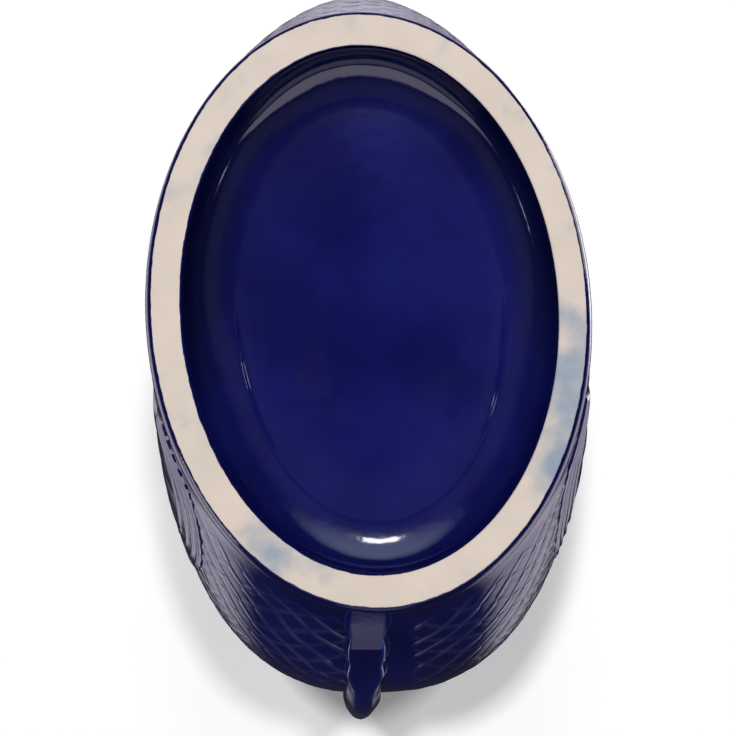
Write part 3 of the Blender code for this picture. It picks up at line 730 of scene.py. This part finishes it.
inner, inner_turn, inner_share = tube("inner_wall", AROUND, LINING_ROWS)
place_points(inner, skin(blend(LINING_FOOT, MOUTH_HEIGHT, inner_share), inner_turn, WALL))
only(body)
inner.select_set(True)
bpy.ops.object.join()
select_open_edges(body)
bpy.ops.object.mode_set(mode="OBJECT")
open_edges = [edge.index for edge in body.data.edges if edge.select]
body_points = points_of(body)
for upper in (True, False):
    clear_selection(body)
    for index in open_edges:
        high = body_points[body.data.edges[index].vertices[0]][2] > NECK_HEIGHT
        body.data.edges[index].select = bool(high == upper)
    bpy.ops.object.mode_set(mode="EDIT")
    bpy.ops.mesh.bridge_edge_loops()
    bpy.ops.object.mode_set(mode="OBJECT")
bpy.ops.object.mode_set(mode="EDIT")
turn_faces_out()
hang(body, scaled_glaze, "cobalt_glaze", "body_shell")

# %% [markdown]
# ## Rolled lips
#
# The mouth of the fish is the spout, with a thick soft lip all round. A torus already has a lip's round
# section, so it is only laid along the rim of the body: the long way round the torus follows the rim, and
# the short way round becomes the bead.

# %% Model the lips
LIP_HALF_WIDTH = 0.0052
LIP_HALF_HEIGHT = 0.0042
TORUS_BEAD = 0.25

bpy.ops.object.select_all(action="DESELECT")
bpy.ops.mesh.primitive_torus_add(major_segments=200, minor_segments=28,
                                 major_radius=1.0, minor_radius=TORUS_BEAD)
lips = named("lips_rolled")
points = points_of(lips)
round_mouth = np.arctan2(points[:, 1], points[:, 0])
out = (np.hypot(points[:, 0], points[:, 1]) - 1.0) / TORUS_BEAD
up = points[:, 2] / TORUS_BEAD
# a little fuller at its four corners than a round bead
squared = 1.0 + 0.10 * np.abs(out * up)
bead = skin(MOUTH_HEIGHT, round_mouth, -out * squared * LIP_HALF_WIDTH)
bead[:, 2] += LIP_HALF_HEIGHT * (1.0 + up * squared)
place_points(lips, bead)
hang(lips, glaze, "cobalt_glaze", "mouth_lip")

# %% [markdown]
# ## Tail handle
#
# The tail lies up the back of the fish as a strap, leaves it, and loops over to the head. Low on the back its
# outer face is flat between two wavy edges, with scalloped ridges behind them. Higher up it draws together
# into a smooth round nose, and over the loop the scallops return. A curve with a bevel would give a round rope,
# so a tube is laid along two rails, the inner and the outer edge of the tail, with a section that changes along
# the way.

# %% Rails of the tail
CROTCH_HEIGHT = 0.0720
LOOP_HEIGHT = 0.1250
JOIN_LOW, JOIN_HIGH = 0.1840, 0.2030
JOIN_SINK = 0.0012
TAIL_REACH = 0.1012
TAIL_THICKNESS = 0.0160
STRAP_START, STRAP_AT_FOOT, STRAP_AT_BELLY = 0.0004, 0.0030, 0.0055
STRAP_RUN = 0.0130
SEAT_GAP = 0.0003
TAIL_FOOT = 0.0018
# how fast the ring draws in below the body
RING_SLOPE = 0.41


def back_reach(height):
    """How far the back of the fish stands out at a level, near its middle line."""
    turns = np.radians(np.arange(80, 101, 2))
    reach = float(skin(max(height, FOOT_TOP), turns)[:, 1].max() - foot_middle.y)
    return reach - RING_SLOPE * max(FOOT_TOP - height, 0.0)


def back_reach_at(height):
    """The same at a height above the table, where the leaning head has raised the sections."""
    levels = np.linspace(FOOT_TOP, MOUTH_HEIGHT, 2001)
    spine = skin(levels, np.full(len(levels), np.pi / 2))
    return float(np.interp(height, spine[:, 2], spine[:, 1]) - foot_middle.y)


def tail_rails(share):
    """Inner and outer edge of the tail, as (reach, height), from the foot (0) to the head (1)."""
    if share <= 0.5:
        height = blend(TAIL_FOOT, LOOP_HEIGHT, share * 2)
        lift = ease((height - CROTCH_HEIGHT) / (LOOP_HEIGHT - CROTCH_HEIGHT))
        hugging = back_reach(min(height, CROTCH_HEIGHT)) + SEAT_GAP
        inside = blend(hugging, TAIL_REACH - TAIL_THICKNESS, lift)
        strap = blend(STRAP_AT_FOOT, STRAP_AT_BELLY, (height - TAIL_FOOT) / (BELLY_HEIGHT - TAIL_FOOT))
        strap = blend(STRAP_START, strap, min((height - TAIL_FOOT) / STRAP_RUN, 1.0))
        outside = back_reach(height) + SEAT_GAP + strap
        if height > BELLY_HEIGHT:
            rise = (height - BELLY_HEIGHT) / (LOOP_HEIGHT - BELLY_HEIGHT)
            start = back_reach(BELLY_HEIGHT) + SEAT_GAP + STRAP_AT_BELLY
            outside = blend(start, TAIL_REACH, 1.0 - (1.0 - rise) ** 2)
        return (inside, height), (outside, height)
    turn = (share - 0.5) * np.pi
    edges = []
    for reach, join in ((TAIL_REACH - TAIL_THICKNESS, JOIN_LOW), (TAIL_REACH, JOIN_HIGH)):
        head = back_reach_at(join) - JOIN_SINK
        edges.append((blend(head, reach, np.cos(turn)), blend(LOOP_HEIGHT, join, np.sin(turn))))
    return tuple(edges)


outer_reach = [tail_rails(share)[1][0] for share in (0.0, 0.5, 1.0)]
print("tail reach in mm at foot, loop and head:", [round(float(reach) * 1000, 1) for reach in outer_reach])

# %% Section of the tail
# Half a section as corners, by their turn from the outer edge (0) to the seat on the back (180 degrees). Depth is
# 1 at the outer edge and 0 at the seat. The rest are shares of a half width: face and ridge make the flat strap,
# round makes the nose.
section_turns = np.radians((0, 14, 25, 34, 42, 52, 66, 90, 120, 150, 180))
section_corners = {
    "flat_depth": (1.0, 1.0, 0.99, 0.94, 0.84, 0.74, 0.62, 0.42, 0.20, 0.03, 0.0),
    "nose_depth": (1.0, 0.985, 0.955, 0.91, 0.85, 0.76, 0.62, 0.42, 0.20, 0.03, 0.0),
    "face": (0.0, 0.52, 0.88, 1.0, 0.90, 0.55, 0.0, 0.0, 0.0, 0.0, 0.0),
    "ridge": (0.0, 0.0, 0.0, 0.0, 0.06, 0.42, 1.0, 0.96, 0.86, 0.56, 0.0),
    "round": (0.0, 0.26, 0.41, 0.55, 0.70, 0.87, 1.0, 1.0, 0.88, 0.56, 0.0),
}
ROUNDING = 10
fine_turns = np.linspace(0.0, np.pi, 400)


def section_curve(values):
    """Rounded curve through the corner values of the section."""
    dense = np.interp(fine_turns, section_turns, values)
    kernel = np.hanning(2 * ROUNDING + 1)
    padded = np.concatenate((dense[ROUNDING:0:-1], dense, dense[-2:-ROUNDING - 2:-1]))
    return np.convolve(padded, kernel / kernel.sum(), mode="valid")


print("corners in half a section:", len(section_turns))

# %% Walk along the tail
TAIL_POINTS = 64
TAIL_ROWS = (70, 6)
SCALLOP_PITCH = 0.0125

tail, turn, share = tube("tail_handle_scalloped", TAIL_POINTS, TAIL_ROWS)
side_turn = np.abs(turn)
row_count = TAIL_ROWS[0] * TAIL_ROWS[1]
stations = np.linspace(0.0, 1.0, row_count + 1)
rails = np.array([tail_rails(float(station)) for station in stations])
outer_run = np.concatenate(([0.0], np.cumsum(np.linalg.norm(np.diff(rails[:, 1], axis=0), axis=1))))
even = np.interp(np.linspace(0.0, outer_run[-1], row_count + 1), outer_run, stations)
rails = np.array([tail_rails(float(station)) for station in even])
ring = np.rint(share * row_count).astype(int)
run = outer_run[-1] * ring / row_count
station = even[ring]
lower, upper = ease(station * 2), ease(station * 2 - 1)
# from about 25 to 43 mm up the strap turns into a nose, and its ridges lose their scallops until the loop
nose = ease((station - 0.095) / 0.07)
face_wave = np.abs(np.sin(np.pi * run / SCALLOP_PITCH)) - 0.5
ridge_wave = np.abs(np.sin(np.pi * (run / SCALLOP_PITCH + 0.08)))
ridge_wave = ridge_wave * blend(1.0, ease((station - 0.50) / 0.15), ease((station - 0.08) / 0.05))
print("tail length in mm:", round(float(outer_run[-1]) * 1000, 1), "rows:", row_count)

# %% Lay the tail on its rails
TAIL_LEAN = 0.0024
FACE_WAVE, RIDGE_WAVE = 0.0005, 0.0011
# half widths at the foot, in the loop and at the head
FACE_HALF = (0.0041, 0.0036, 0.0052)
RIDGE_HALF = (0.0046, 0.0047, 0.0080)
# the nose: half widths by how far behind the outer edge
NOSE_BACK = (0.0, 0.0004, 0.00085, 0.00167, 0.00334, 0.0053, 0.0080)
NOSE_HALF = (0.0, 0.0014, 0.0021, 0.0029, 0.0042, 0.0049, 0.0053)

part = {name: np.interp(side_turn, fine_turns, section_curve(values)) for name, values in section_corners.items()}
face_half = blend(blend(FACE_HALF[0], FACE_HALF[1], lower), FACE_HALF[2], upper) + FACE_WAVE * face_wave
ridge_half = blend(blend(RIDGE_HALF[0], RIDGE_HALF[1], lower), RIDGE_HALF[2], upper)
flat_across = part["face"] * face_half + part["ridge"] * ridge_half
thickness = np.linalg.norm(rails[ring, 1] - rails[ring, 0], axis=-1)
bow = np.interp((1.0 - part["nose_depth"]) * thickness, NOSE_BACK, NOSE_HALF)
nose_across = np.minimum(part["round"] * ridge_half, blend(bow, part["round"] * ridge_half, upper))
across = blend(flat_across, nose_across, nose) + part["ridge"] * RIDGE_WAVE * ridge_wave
depth = blend(part["flat_depth"], part["nose_depth"], nose)
along = blend(rails[ring, 0, 0], rails[ring, 1, 0], depth)
tall = blend(rails[ring, 0, 1], rails[ring, 1, 1], depth)
lean = -TAIL_LEAN * np.sin(np.pi * station)
across = np.sign(turn) * across + lean + foot_middle.x
place_points(tail, np.stack((across, along + foot_middle.y, tall), axis=-1))
print("tail reaches sideways in mm:", round(float(np.abs(across).max()) * 1000, 1))

# %% Glaze and close the tail
# how far the glaze breaks on the strap's right and left edge, and on the ridges behind them
RIGHT_EDGE, LEFT_EDGE, ON_RIDGE = 0.9, 0.25, 0.2

edge_glow = np.exp(-((np.degrees(side_turn) - 33.0) / 5.0) ** 2) * (1.0 - nose)
edge_glow = edge_glow * np.where(turn > 0, RIGHT_EDGE, LEFT_EDGE) * ease((station - 0.02) / 0.03)
mark(tail, edge_glow + ON_RIDGE * np.exp(-((np.degrees(side_turn) - 66.0) / 9.0) ** 2))
select_open_edges(tail)
bpy.ops.mesh.edge_face_add()
turn_faces_out()
hang(tail, glaze, "cobalt_glaze", "tail_handle")

# %% [markdown]
# ## Fins, gill covers and tail lobes
#
# These are sprigs: thin reliefs pressed onto the wet body, whose edges melt into it under the glaze. Each is
# a grid, laid on the skin by its own recipe for level, angle and lift. Its rim is sunk just under the skin
# so that no gap shows, and a Solidify modifier gives it a back inside the wall.

# %% Helper for reliefs
SIDES = (("right", 1), ("left", -1))
BACKING = 0.0016
SUNK = 0.0005


def side_angle(angle, side):
    """The same place on the right (+1) or the left (-1) of the fish."""
    return angle if side > 0 else np.pi - angle


def relief(name, side, columns, rows, recipe, thin):
    """Grid laid on one side of the fish: recipe turns its two shares into level, angle and lift."""
    bpy.ops.object.select_all(action="DESELECT")
    bpy.ops.mesh.primitive_grid_add(x_subdivisions=columns, y_subdivisions=rows, size=1.0)
    piece = named(name)
    points = points_of(piece) + 0.5
    height, angle, lift = recipe(points[:, 0], points[:, 1])
    place_points(piece, on_skin(height, side_angle(angle, side), lift))
    mark(piece, np.clip(thin(points[:, 0], points[:, 1], lift), 0.0, 1.0))
    face = piece.data.polygons[len(piece.data.polygons) // 2]
    outward = np.array((face.center.x - foot_middle.x, face.center.y - foot_middle.y, 0.0))
    if np.dot(np.array(face.normal), outward) < 0:
        piece.data.flip_normals()
    apply_modifier(piece, "SOLIDIFY", thickness=BACKING, offset=-1.0)
    return piece


print("backing of a relief in mm:", BACKING * 1000)

# %% [markdown]
# ### Side fins
#
# A fan of rays from a root on the flank, swept back and down. Its back edge hangs nearly upright, its lowest
# rays stop level over the foot, and fine growth lines follow the crinkled free edge.

# %% Model the side fins
FIN_ROOT_HEIGHT = 0.0740
FIN_ROOT_ANGLE = math.radians(-6.0)
FIN_ROOT_RADIUS = 0.0130
FIN_LENGTH = 0.0880
FIN_LONGEST_RAY = 0.74
FIN_TIP_ROUND = 1.10
FIN_DROP = 0.0649
FIN_SLOPES = (math.radians(4.0), math.radians(62.0))
FIN_RAYS = 6
FIN_CRINKLES = 22
FIN_RISE = 0.0008
FIN_RIDGE = 0.0004
CRINKLE_DEPTH = 0.0008
GROWTH_LINES = (0.72, 0.80, 0.87, 0.93)
GROWTH_RISE, GROWTH_WIDTH = 0.00025, 0.012
ROUND_SPEED = float(np.linalg.norm(skin(FIN_ROOT_HEIGHT, 0.35) - skin(FIN_ROOT_HEIGHT, 0.15)) / 0.20)


def fin_ridge(spread):
    """Height of the rays across the fin, 0 in a groove and 1 on a ray."""
    return np.abs(np.sin(np.pi * FIN_RAYS * spread)) ** 0.8


def growth_lines(out):
    return sum(np.exp(-((out - place) / GROWTH_WIDTH) ** 2) for place in GROWTH_LINES)


def fin_recipe(out, spread):
    """out runs along the rays from the root, spread from the upper ray to the lowest."""
    slope = blend(FIN_SLOPES[0], FIN_SLOPES[1], spread)
    crinkle = np.abs(np.sin(np.pi * FIN_CRINKLES * spread))
    tip = FIN_LENGTH * (1.0 - FIN_TIP_ROUND * (spread - FIN_LONGEST_RAY) ** 2)
    run = blend(FIN_ROOT_RADIUS, np.minimum(tip, FIN_DROP / np.sin(slope)), out)
    run = run - CRINKLE_DEPTH * (1.0 - crinkle) * ease((out - 0.92) / 0.08)
    height = FIN_ROOT_HEIGHT - run * np.sin(slope)
    angle = FIN_ROOT_ANGLE + run * np.cos(slope) / ROUND_SPEED
    sides = ease(np.minimum(spread, 1.0 - spread) / 0.045)
    root = ease(out / 0.10)
    free_edge = ease((1.0 - out) / 0.040)
    # rays and plate both thin out toward the free edge
    rays = FIN_RIDGE * fin_ridge(spread) * (1.0 - 0.8 * ease((out - 0.5) / 0.3))
    plate = FIN_RISE * (1.0 - 0.51 * ease((out - 0.45) / 0.50))
    lift = (plate + rays + GROWTH_RISE * growth_lines(out)) * sides * root * free_edge
    return height, angle, lift - SUNK * (1.0 - sides * root * free_edge)


for side_name, side in SIDES:
    fin = relief(f"side_fin_{side_name}", side, 140, 180, fin_recipe,
                 lambda out, spread, lift: 0.12 * growth_lines(out))
    hang(fin, glaze, "cobalt_glaze", f"pectoral_fin_{side_name}")

# %% [markdown]
# ### Gill covers
#
# A crescent plate behind each cheek, thickest along its free lower edge, with one shallow line inside it
# that follows the edge.

# %% Model the gill covers
GILL_HEIGHT = 0.1470
GILL_BOW = 0.0230
GILL_DEPTH = 0.0300
GILL_ANGLES = (math.radians(-58.0), math.radians(34.0))
GILL_RISE = 0.0031


def gill_recipe(sweep, up):
    """sweep runs round the head from the throat to the back, up from the free edge."""
    bow = (2 * sweep - 1) ** 2
    height = GILL_HEIGHT + GILL_BOW * bow + GILL_DEPTH * (1.0 - 0.7 * bow) * up
    angle = blend(GILL_ANGLES[0], GILL_ANGLES[1], sweep)
    ends = ease(np.minimum(sweep, 1.0 - sweep) / 0.10)
    free_edge = ease(up / 0.07)
    groove = 0.45 * np.exp(-((up - 0.30) / 0.055) ** 2)
    lift = GILL_RISE * (1.0 - 0.35 * bow) * (1.0 - ease(up)) * (1.0 - groove) * free_edge * ends
    return height, angle, lift - SUNK * (1.0 - free_edge * ends)


for side_name, side in SIDES:
    gill = relief(f"gill_cover_{side_name}_crescent", side, 96, 60, gill_recipe,
                  lambda sweep, up, lift: 0.7 * np.exp(-((up - 0.07) / 0.05) ** 2))
    hang(gill, glaze, "cobalt_glaze", f"gill_cover_{side_name}")

# %% [markdown]
# ### Lobes of the tail fin
#
# Where the tail meets the head it spreads into two ribbed lobes that hold on to the back of the head.

# %% Model the tail lobes
LOBE_ROOT = 0.0090
LOBE_LENGTH = 0.0250
LOBE_DROP = 0.0060
LOBE_DEPTHS = (0.0190, 0.0290)
LOBE_RAYS = 4
LOBE_RISE = 0.0024
LOBE_RIDGE = 0.0011
LOBE_MIDDLE = (JOIN_HIGH + JOIN_LOW - MOUTH_TILT) / 2
HEAD_TURN = float(np.linalg.norm(skin(HEAD_HEIGHT, np.pi / 2 - 0.05) - skin(HEAD_HEIGHT, np.pi / 2)) / 0.05)


def lobe_ridge(spread):
    return np.abs(np.sin(np.pi * LOBE_RAYS * spread)) ** 0.8


def lobe_recipe(out, spread):
    """out runs from the handle round the head, spread from the lowest ray to the upper."""
    ray = lobe_ridge(spread)
    fork = 0.74 + 0.26 * np.abs(2 * spread - 1)
    reach = LOBE_ROOT * 0.8 + (LOBE_LENGTH + LOBE_ROOT * 0.2) * out * (0.92 + 0.08 * ray) * fork
    height = LOBE_MIDDLE - LOBE_DROP * out ** 2
    height = height + blend(LOBE_DEPTHS[0], LOBE_DEPTHS[1], out) * (spread - 0.5)
    sides = ease(np.minimum(spread, 1.0 - spread) / 0.07)
    free_edge = ease((1.0 - out) / 0.06)
    lift = (LOBE_RISE + LOBE_RIDGE * ray) * (1.0 - 0.4 * out) * sides * free_edge
    return height, np.pi / 2 - reach / HEAD_TURN, lift - SUNK * (1.0 - sides * free_edge)


for side_name, side in SIDES:
    lobe = relief(f"tail_lobe_{side_name}_ribbed", side, 64, 80, lobe_recipe,
                  lambda out, spread, lift: 0.6 * lobe_ridge(spread) ** 6 * ease(lift / 0.001))
    hang(lobe, glaze, "cobalt_glaze", f"tail_lobe_{side_name}")

# %% [markdown]
# ### Button eyes
#
# A domed pupil in a raised rim. The rings of a filled circle are laid on the cheek, lifted as a rim, a moat
# and a dome, and backed like the other sprigs.

# %% Model the eyes
EYE_HEIGHT = 0.2010
EYE_ANGLE = math.radians(4.0)
EYE_RADIUS = 0.0097
EYE_RIM = 0.0027
EYE_DOME = 0.0038
EYE_POINTS = 72
EYE_RINGS, RING_STEP = 30, 0.0325
# radius of the rim and of the pupil, as shares of the eye
RIM_PLACE, PUPIL = 0.80, 0.62
EYE_SUNK = 0.0006

for side_name, side in SIDES:
    bpy.ops.object.select_all(action="DESELECT")
    bpy.ops.mesh.primitive_circle_add(vertices=EYE_POINTS, radius=1.0, fill_type="NGON")
    eye = named(f"eye_{side_name}_button")
    bpy.ops.object.mode_set(mode="EDIT")
    bpy.ops.mesh.select_mode(type="FACE")
    bpy.ops.mesh.select_all(action="SELECT")
    for step in range(EYE_RINGS):
        bpy.ops.mesh.inset(thickness=RING_STEP, depth=0.0)
    bpy.ops.object.mode_set(mode="OBJECT")
    points = points_of(eye)
    radius = np.hypot(points[:, 0], points[:, 1])
    centre_angle = side_angle(EYE_ANGLE, side)
    ahead, behind = skin(EYE_HEIGHT, centre_angle + 0.01), skin(EYE_HEIGHT, centre_angle - 0.01)
    speed = float(np.linalg.norm(ahead - behind) / 0.02)
    rim = EYE_RIM * np.exp(-((radius - RIM_PLACE) / 0.13) ** 2)
    dome = EYE_DOME * np.sqrt(np.clip(1.0 - (radius / PUPIL) ** 2, 0.0, 1.0))
    lift = np.maximum(rim, dome) - EYE_SUNK * ease((radius - 0.9) / 0.1)
    place_points(eye, on_skin(EYE_HEIGHT + EYE_RADIUS * points[:, 1],
                              centre_angle + EYE_RADIUS * points[:, 0] / speed, lift))
    mark(eye, 0.7 * np.exp(-((radius - RIM_PLACE) / 0.08) ** 2))
    if eye.data.polygons[0].normal.x * side < 0:
        eye.data.flip_normals()
    apply_modifier(eye, "SOLIDIFY", thickness=BACKING, offset=-1.0)
    hang(eye, glaze, "cobalt_glaze", f"eye_{side_name}")

# %% [markdown]
# ## Stage
#
# In the photograph the jug stands on its mouth on a white table and the camera looks down at the foot. Here
# the jug stands upright, so that table is a white sheet over its mouth, seen only from below. A second pale
# sheet under the foot is the floor for every view from above. Each sheet shows only its own side, and only
# to the camera, so that neither keeps the light away from the jug.

# %% Sheets
SHEET_SIZE = 8.0
SHEET_GAP = 0.0005
PAPER = (0.97, 0.97, 0.97, 1.0)
WHITE = (1.0, 1.0, 1.0, 1.0)
TABLE_GLOW, FLOOR_GLOW = 0.09, 0.0


def sheet_material(name, glow):
    """White paper that only the camera sees, and only on its front side."""
    material = bpy.data.materials.new(name)
    material.use_nodes = True
    tree = material.node_tree
    tree.nodes.clear()
    rays = add_node(tree, "LightPath")
    side = add_node(tree, "NewGeometry")
    front = add_node(tree, "Math", {"operation": "SUBTRACT"}, {0: 1.0, 1: side.outputs["Backfacing"]})
    shown = add_node(tree, "Math", {"operation": "MULTIPLY"},
                     {0: rays.outputs["Is Camera Ray"], 1: front.outputs["Value"]})
    paper = add_node(tree, "BsdfDiffuse", None, {"Color": PAPER})
    light = add_node(tree, "Emission", None, {"Color": WHITE, "Strength": glow})
    lit = add_node(tree, "AddShader", None, {0: paper.outputs["BSDF"], 1: light.outputs["Emission"]})
    clear = add_node(tree, "BsdfTransparent")
    mixed = add_node(tree, "MixShader", None,
                     {"Fac": shown.outputs["Value"], 1: clear.outputs["BSDF"], 2: lit.outputs["Shader"]})
    add_node(tree, "OutputMaterial", None, {"Surface": mixed.outputs["Shader"]})
    return material


for sheet_name, height, faces_down, glow in (("table_over_mouth", cad_high.z + SHEET_GAP, True, TABLE_GLOW),
                                             ("floor_under_foot", cad_low.z - SHEET_GAP, False, FLOOR_GLOW)):
    bpy.ops.object.select_all(action="DESELECT")
    bpy.ops.mesh.primitive_plane_add(size=SHEET_SIZE, location=(0.0, 0.0, height))
    sheet = named(sheet_name)
    if faces_down:
        sheet.data.flip_normals()
    sheet.data.materials.append(sheet_material(f"{sheet_name}_paper", glow))
    print("sheet:", sheet.name)

# %% [markdown]
# ## Light
#
# A dark glossy pot is lit by what it reflects. The photograph shows a dim room around the camera, a broad
# soft light on the tail side that draws a grey arc in the cove, a window on the belly side with a small hot
# spot, and white table all round. Most of this is drawn in the world, as soft bands and round patches, and only
# glossy rays see it: all other rays get one even fill, so that the patches shine in the glaze and don't light
# the clay unevenly. The window's hot spot and two strips are area lamps. Two small lamps far below, hidden from
# reflections, set the level and throw the soft shadow to both sides of the tail. The lamps above the jug light
# the views from the side and from above.

# %% World
world = bpy.data.worlds.new("studio")
bpy.context.scene.world = world
world.use_nodes = True
tree = world.node_tree
tree.nodes.clear()
direction = add_node(tree, "TexCoord").outputs["Generated"]
parts = add_node(tree, "SeparateXYZ", None, {"Vector": direction})
sky_x, sky_y, sky_z = (parts.outputs[axis] for axis in "XYZ")


def soft_band(*edges):
    """Part of the sky inside all its soft edges, each (socket, value where dark, value where lit, strength)."""
    band = None
    for socket, dark, lit, strength in edges:
        edge = add_node(tree, "MapRange", {"interpolation_type": "SMOOTHSTEP"},
                        {"Value": socket, "From Min": dark, "From Max": lit, "To Max": strength})
        if band is None:
            band = edge.outputs["Result"]
        else:
            both = add_node(tree, "Math", {"operation": "MULTIPLY"}, {0: band, 1: edge.outputs["Result"]})
            band = both.outputs["Value"]
    return band


def soft_patch(axis, narrow, wide, strength):
    """Round patch in the sky: full within narrow degrees of axis, gone outside wide degrees."""
    toward = add_node(tree, "VectorMath", {"operation": "DOT_PRODUCT"},
                      {0: direction, 1: Vector(axis).normalized()})
    dark, lit = math.cos(math.radians(wide)), math.cos(math.radians(narrow))
    return soft_band((toward.outputs["Value"], dark, lit, strength))


# the table's white ends in a wedge round the tail side, a little more to the right
aside = add_node(tree, "Math", {"operation": "ABSOLUTE"}, {0: sky_x}).outputs["Value"]
wedge = add_node(tree, "Math", {"operation": "MULTIPLY_ADD"},
                 {0: aside, 1: -0.87, 2: sky_y}).outputs["Value"]
wedge = add_node(tree, "Math", {"operation": "MULTIPLY_ADD"},
                 {0: sky_x, 1: -0.12, 2: wedge}).outputs["Value"]
sky_lights = {
    "table": soft_band((sky_z, 0.96, 0.86, 1.0), (sky_z, 0.48, 0.72, 1.0), (wedge, 0.15, -0.07, 1.0)),
    "arc": soft_band((sky_z, -0.83, -0.79, 1.0), (sky_z, -0.50, -0.55, 1.0), (sky_y, 0.28, 0.40, 1.8)),
    "low band": soft_band((sky_z, -0.48, -0.42, 1.0), (sky_z, -0.16, -0.24, 1.0), (sky_y, 0.50, 0.70, 0.7)),
    "belly patch": soft_patch((0.0, -0.74, -0.67), 6.0, 30.0, 1.7),
    "tail patch": soft_patch((0.0, 0.978, 0.208), 9.0, 17.0, 0.60),
    "room glow": soft_patch((0.0, 0.0, -1.0), 20.0, 36.0, 0.12),
    "dark behind the camera": soft_patch((0.0, -0.10, -0.995), 0.0, 12.0, -0.10),
}
print("lights in the sky:", ", ".join(sky_lights))

# %% Who sees the sky
ROOM, FILL = 0.03, 0.17
# tints of what the glaze reflects: faintly violet, and bluer from the window on the belly side
ROOM_TINT, WINDOW_TINT = (1.0, 0.93, 1.10, 1.0), (0.86, 1.0, 1.25, 1.0)

first_light, *other_lights = sky_lights.values()
mirrored = first_light
for sky_light in (*other_lights, ROOM):
    mirrored = add_node(tree, "Math", {"operation": "ADD"}, {0: mirrored, 1: sky_light}).outputs["Value"]
rays = add_node(tree, "LightPath")
level_seen = add_node(tree, "Mix", None,
                      {"Factor": rays.outputs["Is Glossy Ray"], "A": FILL, "B": mirrored})
strength = add_node(tree, "Math", {"operation": "MAXIMUM"},
                    {0: level_seen.outputs["Result"], 1: rays.outputs["Is Camera Ray"]})
window_side = soft_band((sky_y, -0.30, -0.60, 1.0), (sky_z, -0.1, -0.4, 1.0))
window_tint = add_node(tree, "Mix", {"data_type": "RGBA"},
                       {"Factor": window_side, "A": ROOM_TINT, "B": WINDOW_TINT})
tint = add_node(tree, "Mix", {"data_type": "RGBA"},
                {"Factor": rays.outputs["Is Glossy Ray"], "A": WHITE, "B": window_tint.outputs["Result"]})
sky = add_node(tree, "Background", None,
               {"Color": tint.outputs["Result"], "Strength": strength.outputs["Value"]})
add_node(tree, "OutputWorld", None, {"Surface": sky.outputs["Background"]})
print("fill for rays that aren't glossy:", FILL)

# %% Lamps
JUG_MIDDLE = 0.12


def lamp(name, off_axis, toward, distance, size, radiance, seen_in_gloss=True, below=True):
    """Area lamp: off_axis degrees from straight below or above, toward a turn round the jug, in degrees."""
    tilt, turn = math.radians(off_axis), math.radians(toward)
    way = Vector((math.sin(tilt) * math.cos(turn), math.sin(tilt) * math.sin(turn), -math.cos(tilt)))
    if not below:
        way.z = -way.z
    aim = Vector((0.0, foot_middle.y, 0.0 if below else JUG_MIDDLE))
    bpy.ops.object.light_add(type="AREA", location=aim + way * distance)
    light = bpy.context.object
    light.name = name
    light.data.shape = "RECTANGLE"
    light.data.size, light.data.size_y = size
    light.data.energy = radiance * math.pi * size[0] * size[1]
    light.rotation_mode = "QUATERNION"
    light.rotation_quaternion = way.to_track_quat("Z", "Y")
    light.visible_camera = False
    light.visible_glossy = seen_in_gloss
    print("lamp:", name, "watts:", round(light.data.energy, 2))


lamp("level_light_right", 6.5, -43, 5.0, (0.23, 0.23), 485.0, seen_in_gloss=False)
lamp("level_light_left", 6.2, 231, 5.0, (0.23, 0.23), 727.0, seen_in_gloss=False)
lamp("ceiling_light", 20, -60, 2.0, (1.5, 1.5), 4.6, seen_in_gloss=False, below=False)
lamp("belly_side_window", 27, -90, 0.9, (0.13, 0.09), 24.0)
lamp("right_strip", 50, 10, 0.9, (0.05, 0.10), 5.0)
lamp("left_strip", 50, 173, 0.9, (0.05, 0.10), 5.0)
lamp("upper_light", 45, -30, 1.4, (0.8, 0.6), 3.0, below=False)
lamp("right_softbox", 76, -25, 1.4, (0.5, 0.55), 3.0, below=False)
lamp("left_softbox", 76, 150, 1.4, (0.5, 0.55), 3.0, below=False)

# %% [markdown]
# ## Camera
#
# The camera looks straight up at the foot from about half a metre, tipped a little toward the tail. Its
# place was found from the foot's oval in the photograph: its size fixes the distance against the lens, and
# how much of the tail shows past it fixes the tip.

# %% Camera
FRAME_PIXELS = 736
FOCAL_PIXELS = 2295.0
FOOT_PIXEL = (368.5, 307.0)
DISTANCE = 0.540
TIP = math.radians(7.5)
SENSOR_MM = 36.0

look = Vector((0.0, -math.sin(TIP), math.cos(TIP)))
down = Vector((0.0, math.cos(TIP), math.sin(TIP)))
lower = math.atan((FRAME_PIXELS / 2 - FOOT_PIXEL[1]) / FOCAL_PIXELS)
aside = (FRAME_PIXELS / 2 - FOOT_PIXEL[0]) / FOCAL_PIXELS
ahead = (look * math.cos(lower) + down * math.sin(lower) + Vector((aside, 0.0, 0.0))).normalized()
right = (Vector((1.0, 0.0, 0.0)) - ahead * ahead.x).normalized()
upright = right.cross(ahead)
bpy.ops.object.camera_add(location=Vector((foot_middle.x, foot_middle.y, 0.0)) - look * DISTANCE)
camera = bpy.context.object
camera.rotation_mode = "QUATERNION"
camera.rotation_quaternion = Matrix((right, upright, -ahead)).transposed().to_quaternion()
camera.data.sensor_width = SENSOR_MM
camera.data.lens = FOCAL_PIXELS * SENSOR_MM / FRAME_PIXELS
bpy.context.scene.camera = camera
bpy.context.scene.view_settings.view_transform = "Standard"
print("lens in mm:", round(camera.data.lens, 1))
